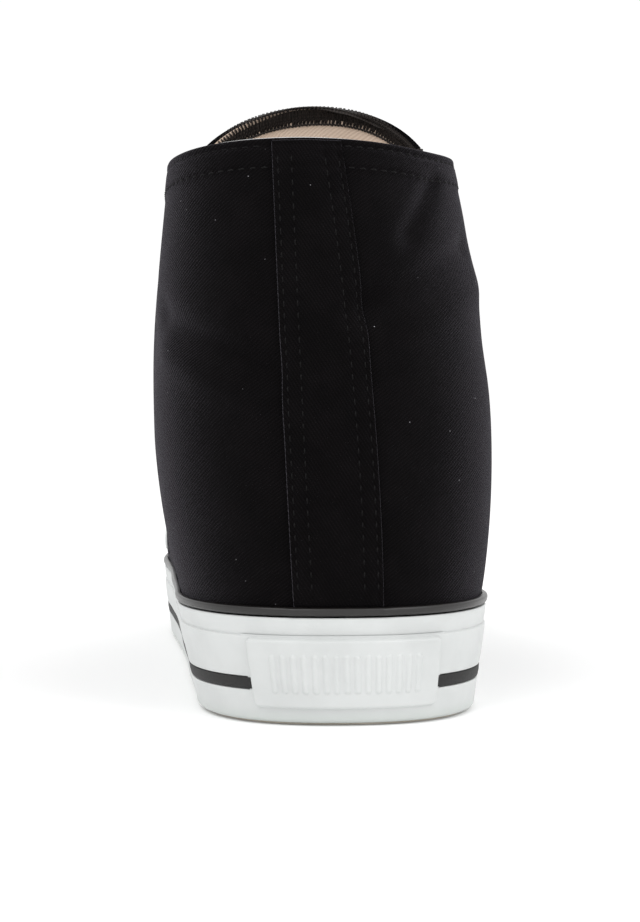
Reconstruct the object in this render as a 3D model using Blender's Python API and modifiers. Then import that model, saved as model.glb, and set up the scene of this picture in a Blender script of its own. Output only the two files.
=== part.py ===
# High top sneaker, left shoe, empty and standing on its sole.
# Metres, +Z up, toe toward +Y, outer side toward -X. The origin lies on the floor
# in the middle of the heel's tread.

import math

import bmesh
import bpy
from mathutils import Vector

# Main sizes of the shoe
length = 0.293
ball_width = 0.105
heel_width = 0.0777
collar_height = 0.134
heel_centre = 0.045  # from the back of the heel to the origin
toe_spring = 0.010
shaft_lean = 0.042  # sideways run of the shaft for each metre of height
heel_slant = 0.0025  # sideways shift of the back of the collar against its sides

# Sole and side wall
outsole_thickness = 0.0070
groove_depth = 0.0016
groove_width = 0.0030
bar_width = 0.0115
arch_recess = 0.0022
foxing_height = 0.0280
foxing_thickness = 0.0016
foxing_lift = 0.0005  # the side wall ends this far above the floor
wall_draft = 0.0054  # the side wall's foot lies this far inside its head, at the heel
front_draft = 0.0020  # the same at the toe
band_height = 0.0021
band_thickness = 0.0014
step_drop = 0.0044  # from the band down to the step of the side wall
step_depth = 0.0004
stripe_height = 0.0028
stripe_middle = 0.0094
stripe_thickness = 0.0006
plate_width = 0.0430
plate_height = 0.0162
plate_middle = 0.0120
plate_shift = 0.0012  # toward the inner side
plate_thickness = 0.0009

# Cloth
wall = 0.0018
overlay_thickness = 0.0009
cap_thickness = 0.0016
overlay_seat = 0.0011  # from the side wall's head up to what lies on the upper
strip_width = 0.0192
tongue_thickness = 0.0018
tongue_half_width = 0.0400
tongue_shift = 0.0012  # sideways shift of the tongue's top toward the inner side
tongue_reach = 0.0060  # how far the tongue's tip rises past its last row
tongue_arch = 0.0095  # how far the tongue's top edge falls from its tip to its sides
tongue_tip = 0.25  # where the tip stands, from the middle to the inner edge
tongue_bend_limit = 80  # degrees, beyond which the tongue's sides run straight
insole_heel = 0.0085
insole_toe = 0.0050
hole_depth = 0.012  # length of the cutters for the eyelets' holes
insole_clearance = 0.0007

# Lacing
eyelet_count = 7  # on each side
eyelet_bore = 0.0017
eyelet_barrel = 0.0021
eyelet_flange = 0.0034
flange_thickness = 0.0006
flange_seat = 0.0008  # from the eyestay to the flange, for the bend under it
eyelet_hole = 0.0024
lace_radius = 0.0012
lace_rise = 0.0019  # from the flange to the middle line of a lace bar
lace_bow = 0.0030

gap = 0.0003

# Places along the shoe, as shares of its length
heel_round = 0.148
heel_power = 2.28
toe_round = 0.270
toe_power = 2.5
swell_power = 0.85  # below 1 the wall swells most under its middle
collar_back = 0.030
collar_round = 0.116
ridge_front = 0.930
throat_end = 0.680
throat_round = 0.040
cap_start = 0.770
spring_start = 0.700
lean_full = 0.350
lean_none = 0.650
eyestay_start = 0.345
eyelet_first = 0.385
eyelet_last = 0.650
cap_share = 0.55
stripe_gap = 0.002  # turn from the heel plate to the stripe
shift_start = 0.390  # below this station the tongue stands in the middle
ridge_share = 0.97  # share of the height at which the ridge takes its outward way
tongue_rise_start = 0.55  # share of the tongue's length where its tip begins to rise
insole_fall_start = 0.25
insole_fall_end = 0.65
heel_tread_start = 0.030
heel_tread_end = 0.330
arch_start = 0.350
arch_end = 0.450
front_tread_start = 0.470
front_tread_end = 0.975
end_stations = (0.0, 0.001, 0.004, 0.010, 0.018)  # of the outsole, from either end

# Sole outline at the head of the side wall, a row per station.
# along: share of length. spread: 0 takes the heel's width and 1 the ball's.
# outer, inner: half widths as shares of that width.
# sway: shift of the middle line toward the inner side, as a share of ball_width.
outline_rows = (
    # along, spread, outer, inner, sway
    (0.00, 0.00, 0.492, 0.504, 0.000),
    (0.15, 0.00, 0.492, 0.504, 0.000),
    (0.30, 0.05, 0.508, 0.470, 0.000),
    (0.42, 0.20, 0.502, 0.424, 0.003),
    (0.52, 0.50, 0.490, 0.432, 0.016),
    (0.62, 0.85, 0.486, 0.472, 0.036),
    (0.72, 1.00, 0.503, 0.500, 0.054),
    (0.82, 1.00, 0.504, 0.490, 0.068),
    (0.92, 1.00, 0.488, 0.470, 0.084),
    (1.00, 1.00, 0.472, 0.455, 0.094),
)

# Head of the side wall, as shares of foxing_height
foxing_rows = (
    # along, height
    (0.00, 0.978),
    (0.15, 1.000),
    (0.30, 0.992),
    (0.50, 0.928),
    (0.75, 0.900),
    (1.00, 0.910),
)

# Edge of the opening from the back of the collar to the throat, then the ridge over
# the toes. half: half width as a share of ball_width. height: share of collar_height.
# turn: how far the wall has bent over at its head, as a share of a right angle.
# swell: outward swell at mid height, as a share of ball_width.
# facing: share of the wall's height at which the facing of its edge begins.
head_rows = (
    # along, half, height, turn, swell, facing
    (0.03, 0.328, 1.000, 0.10, 0.020, 0.93),
    (0.10, 0.331, 0.988, 0.10, 0.038, 0.93),
    (0.18, 0.334, 0.980, 0.12, 0.048, 0.93),
    (0.26, 0.335, 0.988, 0.18, 0.050, 0.92),
    (0.33, 0.320, 1.044, 0.28, 0.046, 0.84),
    (0.37, 0.270, 1.072, 0.38, 0.042, 0.80),
    (0.45, 0.195, 0.915, 0.52, 0.040, 0.78),
    (0.55, 0.145, 0.742, 0.68, 0.034, 0.74),
    (0.62, 0.115, 0.632, 0.82, 0.028, 0.70),
    (0.66, 0.100, 0.574, 0.92, 0.024, 0.68),
    (0.70, 0.060, 0.522, 1.00, 0.022, 0.68),
    (0.80, 0.050, 0.425, 1.00, 0.022, 0.68),
    (0.88, 0.050, 0.368, 1.00, 0.022, 0.68),
    (0.93, 0.050, 0.334, 1.00, 0.020, 0.68),
)

# Tongue from its root under the vamp to its top, along its middle line.
# height: share of collar_height. radius: of its bend around the ankle, as a share of
# ball_width. spread: half width as a share of tongue_half_width.
tongue_rows = (
    # along, height, radius, spread
    (0.715, 0.435, 0.200, 0.54),
    (0.660, 0.512, 0.150, 0.58),
    (0.600, 0.610, 0.140, 0.64),
    (0.500, 0.785, 0.155, 0.74),
    (0.420, 0.948, 0.210, 0.90),
    (0.370, 1.045, 0.262, 0.93),
    (0.350, 1.135, 0.320, 0.96),
)

rear_ribs = 3  # ribs from the middle of the back to the edge of the heel strip
side_ribs = 28  # further ribs on each side
wall_levels = 7
facing_levels = 3
eyelet_sides = 8
plate_columns = 10
arch_steps = 4
step = 1e-3  # of turn or share, for the slopes of the last
weld = 1e-6


# Collections and objects

def clear_scene():
    for thing in list(bpy.data.objects):
        bpy.data.objects.remove(thing, do_unlink=True)


def add_collection(name):
    made = bpy.data.collections.new(name)
    bpy.context.scene.collection.children.link(made)
    return made


def add_material(name, colour, roughness, metallic=0.0):
    made = bpy.data.materials.new(name)
    made.use_nodes = True
    shader = made.node_tree.nodes["Principled BSDF"]
    shader.inputs["Base Color"].default_value = (*colour, 1.0)
    shader.inputs["Roughness"].default_value = roughness
    shader.inputs["Metallic"].default_value = metallic
    return made


def add_object(name, mesh, material):
    made = bpy.data.objects.new(name, mesh)
    made.data.materials.append(material)
    parts.objects.link(made)
    return made


def smooth(mesh, degrees=32):
    mesh.shade_smooth()
    mesh.set_sharp_from_angle(angle=math.radians(degrees))


def finish_mesh(name, bm):
    bmesh.ops.remove_doubles(bm, verts=bm.verts, dist=weld)
    bmesh.ops.dissolve_degenerate(bm, edges=bm.edges, dist=weld)
    mesh = bpy.data.meshes.new(name)
    bm.to_mesh(mesh)
    bm.free()
    smooth(mesh)
    return mesh


# Rows and curves

def read_rows(rows, at):
    """Smooth value of each column at a place along the shoe."""
    last = len(rows) - 1
    at = min(max(at, rows[0][0]), rows[last][0])
    k = 0
    while k < last - 1 and at > rows[k + 1][0]:
        k += 1
    here, there = rows[k], rows[k + 1]
    before = rows[max(k - 1, 0)]
    after = rows[min(k + 2, last)]
    run = there[0] - here[0]
    s = (at - here[0]) / run
    values = []
    for c in range(1, len(here)):
        slope_here = (there[c] - before[c]) / (there[0] - before[0]) * run
        slope_there = (after[c] - here[c]) / (after[0] - here[0]) * run
        values.append(
            (2 * s**3 - 3 * s**2 + 1) * here[c]
            + (s**3 - 2 * s**2 + s) * slope_here
            + (3 * s**2 - 2 * s**3) * there[c]
            + (s**3 - s**2) * slope_there
        )
    return values


def mix(a, b, share):
    return a + (b - a) * share


def ease(low, high, at):
    s = min(max((at - low) / (high - low), 0.0), 1.0)
    return s * s * (3 - 2 * s)


def round_start(along, start, span, power=2):
    s = min(max((along - start) / span, 0.0), 1.0)
    return max(0.0, 1 - (1 - s) ** power) ** (1 / power)


def round_end(along, end, span, power):
    s = min(max((along - (end - span)) / span, 0.0), 1.0)
    return max(0.0, 1 - s**power) ** (1 / power)


# The last. A place around it is turn, from 0 at the middle of the back to 1 at the toe
# along the inner side and to -1 along the outer side.

def along_at(turn):
    return (1 - math.cos(math.pi * abs(turn))) / 2


def turn_at(along):
    return math.acos(1 - 2 * along) / math.pi


def wrap(turn):
    if turn > 1:
        return turn - 2
    if turn < -1:
        return turn + 2
    return turn


def outline_point(turn):
    along = along_at(turn)
    spread, outer, inner, sway = read_rows(outline_rows, along)
    width = mix(heel_width, ball_width, spread)
    half = outer if turn < 0 else inner
    half *= round_start(along, 0, heel_round, heel_power)
    half *= round_end(along, 1, toe_round, toe_power)
    side = -1 if turn < 0 else 1
    return Vector((sway * ball_width + side * half * width, along * length, 0))


def outline_normal(turn):
    way = outline_point(wrap(turn + step)) - outline_point(wrap(turn - step))
    return Vector((way.y, -way.x, 0)).normalized()


def spring_at(y):
    s = max(0.0, y / length - spring_start) / (1 - spring_start)
    return toe_spring * s * s


def place(point):
    """Adds toe spring and the shaft's lean, and moves the origin to the heel."""
    lean = shaft_lean * point.z * (1 - ease(lean_full, lean_none, point.y / length))
    return Vector((point.x - lean, point.y - heel_centre, point.z + spring_at(point.y)))


def wall_head(turn):
    return foxing_height * read_rows(foxing_rows, along_at(turn))[0]


def draft_at(turn, height):
    full = mix(wall_draft, front_draft, along_at(turn))
    return full * (1 - height / wall_head(turn))


def sole_point(turn, inset, height):
    """Point this far inside the side wall's outer face, before it is placed."""
    inward = inset + draft_at(turn, height)
    point = outline_point(turn) - outline_normal(turn) * inward
    point.z = height
    return point


def head_values(turn):
    along = mix(collar_back, ridge_front, along_at(turn))
    half, height, bend, swell, facing = read_rows(head_rows, along)
    half *= round_start(along, collar_back, collar_round)
    half *= round_end(along, throat_end, throat_round, 2)
    sway = read_rows(outline_rows, along)[3] * ball_width
    side = -1 if turn < 0 else 1
    slant = heel_slant * (1 - ease(collar_back, collar_back + collar_round, along))
    across = sway - slant + side * half * ball_width
    head = Vector((across, along * length, height * collar_height))
    return head, bend * math.pi / 2, swell * ball_width, facing


def upper_point(turn, share):
    """Outer face of the upper: share 0 at the side wall's head, 1 at the opening."""
    foot = sole_point(turn, foxing_thickness + gap, wall_head(turn))
    head, bend, swell, facing = head_values(turn)
    angle = bend * share
    inward = (1 - math.cos(angle)) / (1 - math.cos(bend))
    upward = math.sin(angle) / math.sin(bend)
    out = outline_normal(turn) * swell * math.sin(math.pi * share**swell_power)
    return Vector((
        mix(foot.x, head.x, inward) + out.x,
        mix(foot.y, head.y, inward) + out.y,
        mix(foot.z, head.z, upward),
    ))


def side_normal(turn, share):
    low, high = max(0.0, share - step), min(1.0, share + step)
    across = upper_point(wrap(turn + step), share) - upper_point(wrap(turn - step), share)
    rise = upper_point(turn, high) - upper_point(turn, low)
    normal = across.cross(rise)
    if normal.length < 1e-12:
        return Vector((0, 0, 1))
    return normal.normalized()


def on_ridge(turn):
    return mix(collar_back, ridge_front, along_at(turn)) >= throat_end


def upper_normal(turn, share):
    if share < 1.0 or not on_ridge(turn):
        return side_normal(turn, share)
    return (side_normal(turn, ridge_share) + side_normal(-turn, ridge_share)).normalized()


def upper_place(turn, share, out=0.0):
    """Point of the upper, moved outward from its outer face."""
    return place(upper_point(turn, share) + upper_normal(turn, share) * out)


def share_above_wall(turn):
    """Share of the upper's height that lies just clear of the side wall."""
    foot = sole_point(turn, 0, wall_head(turn))
    head, bend = head_values(turn)[:2]
    sine = overlay_seat / (head.z - foot.z) * math.sin(bend)
    return math.asin(sine) / bend


def strip_turn():
    """Turn at which the heel strip ends, half its width from the middle."""
    low, high = 0.0, 0.2
    for _ in range(40):
        middle = (low + high) / 2
        if upper_point(middle, 0.5).x < strip_width / 2:
            low = middle
        else:
            high = middle
    return low


def rib_turns():
    edge = strip_turn()
    turns = [edge * k / (rear_ribs - 1) for k in range(rear_ribs)]
    turns += [mix(edge, 1.0, k / side_ribs) for k in range(1, side_ribs + 1)]
    return turns


def level_shares(turn):
    facing = head_values(turn)[3]
    start = share_above_wall(turn)
    shares = [0.0]
    shares += [mix(start, facing, k / wall_levels) for k in range(wall_levels + 1)]
    shares += [mix(facing, 1.0, k / facing_levels) for k in range(1, facing_levels + 1)]
    return shares


# Ways of making solids

def grid_faces(bm, columns, closed):
    rows = [[bm.verts.new(p) for p in column] for column in columns]
    count = len(rows)
    for k in range(count if closed else count - 1):
        one, two = rows[k], rows[(k + 1) % count]
        for j in range(len(one) - 1):
            bm.faces.new((one[j], two[j], two[j + 1]))
            bm.faces.new((one[j], two[j + 1], one[j + 1]))
    return rows


def shell(name, columns, closed, thickness, outward, material):
    """Open sheet made solid on one side of its faces."""
    bm = bmesh.new()
    grid_faces(bm, columns, closed)
    made = add_object(name, finish_mesh(name, bm), material)
    solid = made.modifiers.new("Thickness", "SOLIDIFY")
    solid.thickness = thickness
    solid.offset = 1 if outward else -1
    return made


def sweep(name, columns, closed, material):
    """Solid from cross sections, each a closed loop of points."""
    bm = bmesh.new()
    rows = grid_faces(bm, [column + column[:1] for column in columns], closed)
    if not closed:
        bm.faces.new(rows[0][:-1][::-1])
        bm.faces.new(rows[-1][:-1])
    bmesh.ops.remove_doubles(bm, verts=bm.verts, dist=weld)
    bmesh.ops.recalc_face_normals(bm, faces=bm.faces)
    return add_object(name, finish_mesh(name, bm), material)


def slab(name, alongs, inset, low_at, high_at, material):
    """Sole-shaped sheet from stations along the shoe, with a pointed row at each end."""
    bm = bmesh.new()
    sections = []
    for along in alongs:
        turn = turn_at(along)
        low, high = low_at(along), high_at(along)
        sides = (1,) if along in (0.0, 1.0) else (-1, 1)
        corners = []
        for side in sides:
            for height in (low, high):
                corners.append(bm.verts.new(place(sole_point(side * turn, inset, height))))
        sections.append(corners)
    for one, two in zip(sections, sections[1:]):
        if len(one) == 2:
            one = one + one
        if len(two) == 2:
            two = two + two
        for a, b in ((0, 1), (1, 3), (3, 2), (2, 0)):
            face = []
            for corner in (one[a], one[b], two[b], two[a]):
                if corner not in face:
                    face.append(corner)
            if len(face) > 2:
                bm.faces.new(face)
    bmesh.ops.triangulate(bm, faces=bm.faces)
    bmesh.ops.recalc_face_normals(bm, faces=bm.faces)
    return add_object(name, finish_mesh(name, bm), material)


def both_sides(side):
    """Turns right round the shoe, from those of its inner side."""
    return [-t for t in reversed(side[1:])] + side[:-1]


# Sole

def tread_stations():
    """Stations of the outsole with the depth of its tread there."""
    slope = groove_depth
    stations = [(along, 0.0) for along in end_stations]

    def bars(start, end):
        at = start
        while at + bar_width / length < end:
            stations.append((at, groove_depth))
            stations.append((at + slope / length, 0.0))
            at += (bar_width - slope) / length
            stations.append((at, 0.0))
            stations.append((at + slope / length, groove_depth))
            at += (slope + groove_width) / length

    bars(heel_tread_start, heel_tread_end)
    arch = [mix(arch_start, arch_end, k / arch_steps) for k in range(arch_steps + 1)]
    stations += [(along, arch_recess) for along in arch]
    bars(front_tread_start, front_tread_end)
    stations += [(1 - along, 0.0) for along in reversed(end_stations)]
    return stations


def make_outsole():
    depth = dict(tread_stations())
    slab(
        "outsole", list(depth), foxing_thickness + gap,
        lambda along: depth[along], lambda along: outsole_thickness,
        add_material("outsole rubber", (0.62, 0.60, 0.55), 0.6),
    )


def insole_height(along):
    return mix(insole_heel, insole_toe, ease(insole_fall_start, insole_fall_end, along))


def make_insole(ribs):
    inset = foxing_thickness + gap + wall + insole_clearance
    stations = [0.0] + [along_at(turn) for turn in ribs[1:-1]] + [1.0]
    foot = outsole_thickness + gap
    slab(
        "insole", stations, inset,
        lambda along: foot,
        lambda along: foot + insole_height(along),
        add_material("insole cloth", (0.72, 0.66, 0.55), 0.9),
    )


def make_foxing(ribs):
    """Side wall with a step under its band and a groove for the stripe."""
    columns = []
    low, high = stripe_middle - stripe_height / 2 - gap, stripe_middle + stripe_height / 2 + gap
    sunk = stripe_thickness + gap
    for turn in both_sides(ribs):
        head = wall_head(turn) - band_height - gap
        ledge = head - step_drop
        outer = (
            (0, foxing_lift), (0, low), (sunk, low), (sunk, high), (0, high),
            (0, ledge - step_depth), (step_depth, ledge), (step_depth, head),
        )
        inner = ((foxing_thickness, head), (foxing_thickness, foxing_lift))
        section = [place(sole_point(turn, inset, z)) for inset, z in outer + inner]
        columns.append(section)
    sweep("foxing", columns, True, add_material("foxing rubber", (0.84, 0.86, 0.84), 0.4))


def make_band(ribs):
    columns = []
    inner = foxing_thickness
    for turn in both_sides(ribs):
        high = wall_head(turn)
        low = high - band_height
        outer = inner - band_thickness
        rect = ((outer, low), (outer, high), (inner, high), (inner, low))
        columns.append([place(sole_point(turn, inset, z)) for inset, z in rect])
    sweep("foxing_band", columns, True, add_material("band rubber", (0.02, 0.02, 0.02), 0.3))


def plate_turn(side):
    """Turn at which the heel plate ends on this side."""
    low, high = 0.0, 0.3
    for _ in range(40):
        middle = (low + high) / 2
        if abs(sole_point(side * middle, 0, plate_middle).x) < plate_width / 2 + side * plate_shift:
            low = middle
        else:
            high = middle
    return low


def make_stripe(ribs):
    """Black stripe in its groove, from one side of the heel plate round the toe."""
    inner, outer = plate_turn(1) + stripe_gap, plate_turn(-1) + stripe_gap
    turns = [inner] + [t for t in ribs if t > inner + stripe_gap]
    turns += [-t for t in reversed(ribs[:-1]) if t > outer + stripe_gap] + [-outer]
    low, high = stripe_middle - stripe_height / 2, stripe_middle + stripe_height / 2
    rect = ((0, low), (0, high), (stripe_thickness, high), (stripe_thickness, low))
    columns = [[place(sole_point(t, inset, z)) for inset, z in rect] for t in turns]
    sweep("foxing_stripe", columns, False, add_material("stripe rubber", (0.02, 0.02, 0.02), 0.35))


def make_plate():
    outer, inner = -plate_turn(-1), plate_turn(1)
    turns = [mix(outer, inner, k / plate_columns) for k in range(plate_columns + 1)]
    low, high = plate_middle - plate_height / 2, plate_middle + plate_height / 2
    face, back = -gap - plate_thickness, -gap
    rect = ((face, low), (face, high), (back, high), (back, low))
    columns = [[place(sole_point(t, inset, z)) for inset, z in rect] for t in turns]
    sweep("heel_plate", columns, False, add_material("plate rubber", (0.84, 0.86, 0.84), 0.45))


# Upper and its overlays

def make_upper(ribs):
    skirt = outsole_thickness + gap
    columns = []
    for turn in both_sides(ribs):
        column = [place(sole_point(turn, foxing_thickness + gap, skirt))]
        column += [upper_place(turn, share) for share in level_shares(turn)]
        columns.append(column)
    made = shell(
        "upper", columns, True, wall, False, add_material("black canvas", (0.035, 0.033, 0.035), 0.9)
    )
    return made


def overlay(name, turns, first, thickness, material):
    """Sheet just clear of the upper, on the upper's own ribs and levels."""
    columns = []
    for turn in turns:
        shares = level_shares(turn)[first:]
        columns.append([upper_place(turn, share, gap) for share in shares])
    return shell(name, columns, False, thickness, True, material)


def make_heel_strip(ribs):
    half = ribs[:rear_ribs]
    turns = [-t for t in reversed(half[1:])] + half
    overlay(
        "heel_strip", turns, 1, overlay_thickness,
        add_material("strip canvas", (0.035, 0.033, 0.035), 0.9),
    )


def make_toe_cap(ribs):
    start = turn_at(cap_start)
    inner = [t for t in ribs if t >= start]
    turns = inner + [-t for t in reversed(inner[:-1])]
    columns = []
    for turn in turns:
        shares = level_shares(turn)[1:]
        columns.append([upper_place(turn, share, gap) for share in shares])
    shell(
        "toe_cap", columns, False, cap_thickness, True,
        add_material("cap rubber", (0.84, 0.86, 0.84), 0.4),
    )


def head_along(turn):
    return mix(collar_back, ridge_front, along_at(turn))


def make_eyestays(ribs):
    first = 1 + wall_levels
    limit = throat_end - throat_round * 0.5
    inner = [t for t in ribs if eyestay_start <= head_along(t) <= limit]
    cloth = add_material("eyestay canvas", (0.035, 0.033, 0.035), 0.9)
    made = [overlay("eyestay_inner", inner, first, overlay_thickness, cloth)]
    outer = [-t for t in reversed(inner)]
    made.append(overlay("eyestay_outer", outer, first, overlay_thickness, cloth))
    return made


# Lacing

def eyelet_places():
    """Turn, share, place and outward way of each eyelet, from the throat up."""
    places = []
    for side, word in ((-1, "outer"), (1, "inner")):
        for k in range(eyelet_count):
            along = mix(eyelet_last, eyelet_first, k / (eyelet_count - 1))
            share_along = (along - collar_back) / (ridge_front - collar_back)
            turn = side * turn_at(share_along)
            share = mix(head_values(turn)[3], 1.0, cap_share)
            name = f"eyelet_{word}_{k + 1}"
            places.append((name, turn, share))
    return places


def aim(way):
    return way.to_track_quat("Z", "Y")


def cut_eyelet_holes(targets):
    bm = bmesh.new()
    for name, turn, share in eyelet_places():
        way = upper_normal(turn, share)
        middle = upper_place(turn, share)
        matrix = aim(way).to_matrix().to_4x4()
        matrix.translation = middle
        bmesh.ops.create_cone(
            bm, cap_ends=True, segments=eyelet_sides, radius1=eyelet_hole, radius2=eyelet_hole,
            depth=hole_depth, matrix=matrix,
        )
    mesh = bpy.data.meshes.new("eyelet holes")
    bm.to_mesh(mesh)
    bm.free()
    cutter = bpy.data.objects.new("eyelet_holes", mesh)
    cutter.hide_render = True
    cutter.display_type = "WIRE"
    cutters.objects.link(cutter)
    for target in targets:
        cut = target.modifiers.new("Eyelet holes", "BOOLEAN")
        cut.object = cutter
        cut.operation = "DIFFERENCE"
        cut.solver = "EXACT"


def make_eyelets():
    metal = add_material("eyelet metal", (0.75, 0.75, 0.74), 0.3, 1.0)
    top = gap + overlay_thickness + flange_seat
    deep = -wall - gap
    profile = (
        (eyelet_barrel, deep), (eyelet_bore, deep), (eyelet_bore, top + flange_thickness),
        (eyelet_flange, top + flange_thickness), (eyelet_flange, top), (eyelet_barrel, top),
    )
    for name, turn, share in eyelet_places():
        columns = []
        way = aim(upper_normal(turn, share))
        middle = upper_place(turn, share)
        for k in range(eyelet_sides):
            angle = 2 * math.pi * k / eyelet_sides
            column = []
            for radius, height in profile:
                local = Vector((radius * math.cos(angle), radius * math.sin(angle), height))
                column.append(middle + way @ local)
            columns.append(column)
        sweep(name, columns, True, metal)


def make_lace_bars():
    cloth = add_material("lace cotton", (0.8, 0.79, 0.75), 0.9)
    places = eyelet_places()
    clear = gap + overlay_thickness + flange_seat + flange_thickness + lace_rise
    for k in range(eyelet_count):
        outer, inner = places[k], places[k + eyelet_count]
        route = []
        for name, turn, share in (outer, inner):
            way = upper_normal(turn, share)
            middle = upper_place(turn, share)
            edge = upper_place(turn, 1.0, clear)
            route.append([middle, middle + way * clear, edge])
        crown = (route[0][-1] + route[1][-1]) / 2 + Vector((0, lace_bow * 0.5, lace_bow))
        points = route[0] + [crown] + route[1][::-1]
        curve = bpy.data.curves.new(f"lace_bar_{k + 1}", "CURVE")
        curve.dimensions = "3D"
        curve.bevel_depth = lace_radius
        curve.bevel_resolution = 2
        curve.use_fill_caps = True
        spline = curve.splines.new("POLY")
        spline.points.add(len(points) - 1)
        for target, point in zip(spline.points, points):
            target.co = (*point, 1)
        made = bpy.data.objects.new(f"lace_bar_{k + 1}", curve)
        made.data.materials.append(cloth)
        parts.objects.link(made)


# Tongue

def tongue_point(row, across, out):
    """row 0 at the root and 1 at the top, across -1 to 1 from edge to edge."""
    first, last = tongue_rows[0][0], tongue_rows[-1][0]
    table = [(-r[0], *r[1:]) for r in tongue_rows]

    def middle(at):
        height, radius, spread = read_rows(table, -at)
        sway = read_rows(outline_rows, at)[3] * ball_width
        shift = tongue_shift * (1 - ease(last, shift_start, at))
        return Vector((sway + shift, at * length, height * collar_height)), radius, spread

    at = mix(first, last, row)
    here, radius, spread = middle(at)
    way = middle(at - step)[0] - middle(at + step)[0]
    way.x = 0
    way.normalize()
    up = Vector((0, way.z, -way.y))
    bend = radius * ball_width
    half = spread * tongue_half_width
    angle = across * half / bend
    limit = math.radians(tongue_bend_limit)
    turned = min(max(angle, -limit), limit)
    leg = (abs(angle) - limit) * bend if abs(angle) > limit else 0.0
    side = 1 if across > 0 else -1
    face = bend + out
    x = face * math.sin(turned) + side * leg * math.cos(limit)
    drop = bend - face * math.cos(turned) + leg * math.sin(limit)
    return here + Vector((x, 0, 0)) - up * drop, way


def make_tongue():
    rows, columns_across = 12, 12
    outer_columns, inner_columns = [], []
    for c in range(columns_across + 1):
        across = mix(-1, 1, c / columns_across)
        outer, inner = [], []
        # the tip stands highest a little to the inner side
        lean = (across - tongue_tip) / (1 + tongue_tip if across < tongue_tip else 1 - tongue_tip)
        rise = tongue_reach - tongue_arch * lean * lean
        for r in range(rows + 1):
            row = r / rows
            for out, column in ((tongue_thickness / 2, outer), (-tongue_thickness / 2, inner)):
                point, way = tongue_point(row, across, out)
                shift = rise * ease(tongue_rise_start, 1.0, row)
                column.append(place(point + way * shift))
        outer_columns.append(outer)
        inner_columns.append(inner)
    loops = [outer + inner[::-1] for outer, inner in zip(outer_columns, inner_columns)]
    sweep("tongue", loops, False, add_material("tongue canvas", (0.75, 0.62, 0.50), 0.9))


clear_scene()
parts = add_collection("high top sneaker")
cutters = add_collection("cutters")
ribs = rib_turns()
make_outsole()
make_insole(ribs)
make_foxing(ribs)
make_band(ribs)
make_stripe(ribs)
make_plate()
upper = make_upper(ribs)
make_heel_strip(ribs)
make_toe_cap(ribs)
eyestays = make_eyestays(ribs)
cut_eyelet_holes([upper] + eyestays)
make_eyelets()
make_lace_bars()
make_tongue()
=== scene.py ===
import math

import bmesh
import bpy
import numpy as np
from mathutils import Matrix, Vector


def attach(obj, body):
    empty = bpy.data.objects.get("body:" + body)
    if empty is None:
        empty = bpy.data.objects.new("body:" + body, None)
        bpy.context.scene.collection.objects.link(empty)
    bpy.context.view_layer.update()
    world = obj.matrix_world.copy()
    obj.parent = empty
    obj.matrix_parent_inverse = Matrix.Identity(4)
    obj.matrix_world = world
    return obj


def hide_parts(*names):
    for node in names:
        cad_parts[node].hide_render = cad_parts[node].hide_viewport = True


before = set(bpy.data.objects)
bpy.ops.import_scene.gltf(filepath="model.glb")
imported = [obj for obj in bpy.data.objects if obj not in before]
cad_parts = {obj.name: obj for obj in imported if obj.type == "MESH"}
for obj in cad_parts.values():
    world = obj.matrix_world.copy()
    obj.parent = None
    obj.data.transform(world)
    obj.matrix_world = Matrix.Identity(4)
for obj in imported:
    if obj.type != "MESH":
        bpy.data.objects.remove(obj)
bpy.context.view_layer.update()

print("frame loaded")

# The last, with the same sizes and tables as the solids, in metres
last = {
    "length": 0.293,
    "ballWidth": 0.105,
    "heelWidth": 0.0777,
    "collarHeight": 0.134,
    "heelCentre": 0.045,
    "toeSpring": 0.010,
    "shaftLean": 0.042,
    "heelSlant": 0.0025,
    "wallHeight": 0.0280,
    "wallThickness": 0.0016,
    "heelDraft": 0.0054,
    "toeDraft": 0.0020,
    "soleThickness": 0.0070,
    "clear": 0.0003,
    "heelRound": 0.148,
    "heelPower": 2.28,
    "toeRound": 0.270,
    "toePower": 2.5,
    "swellPower": 0.85,
    "collarBack": 0.030,
    "collarRound": 0.116,
    "innerLift": 0.0016,  # the inner side of the collar stands a little higher
    "ridgeFront": 0.930,
    "ridgeShare": 0.97,
    "throatEnd": 0.680,
    "throatRound": 0.040,
    "springStart": 0.700,
    "leanFull": 0.350,
    "leanNone": 0.650,
}

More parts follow.
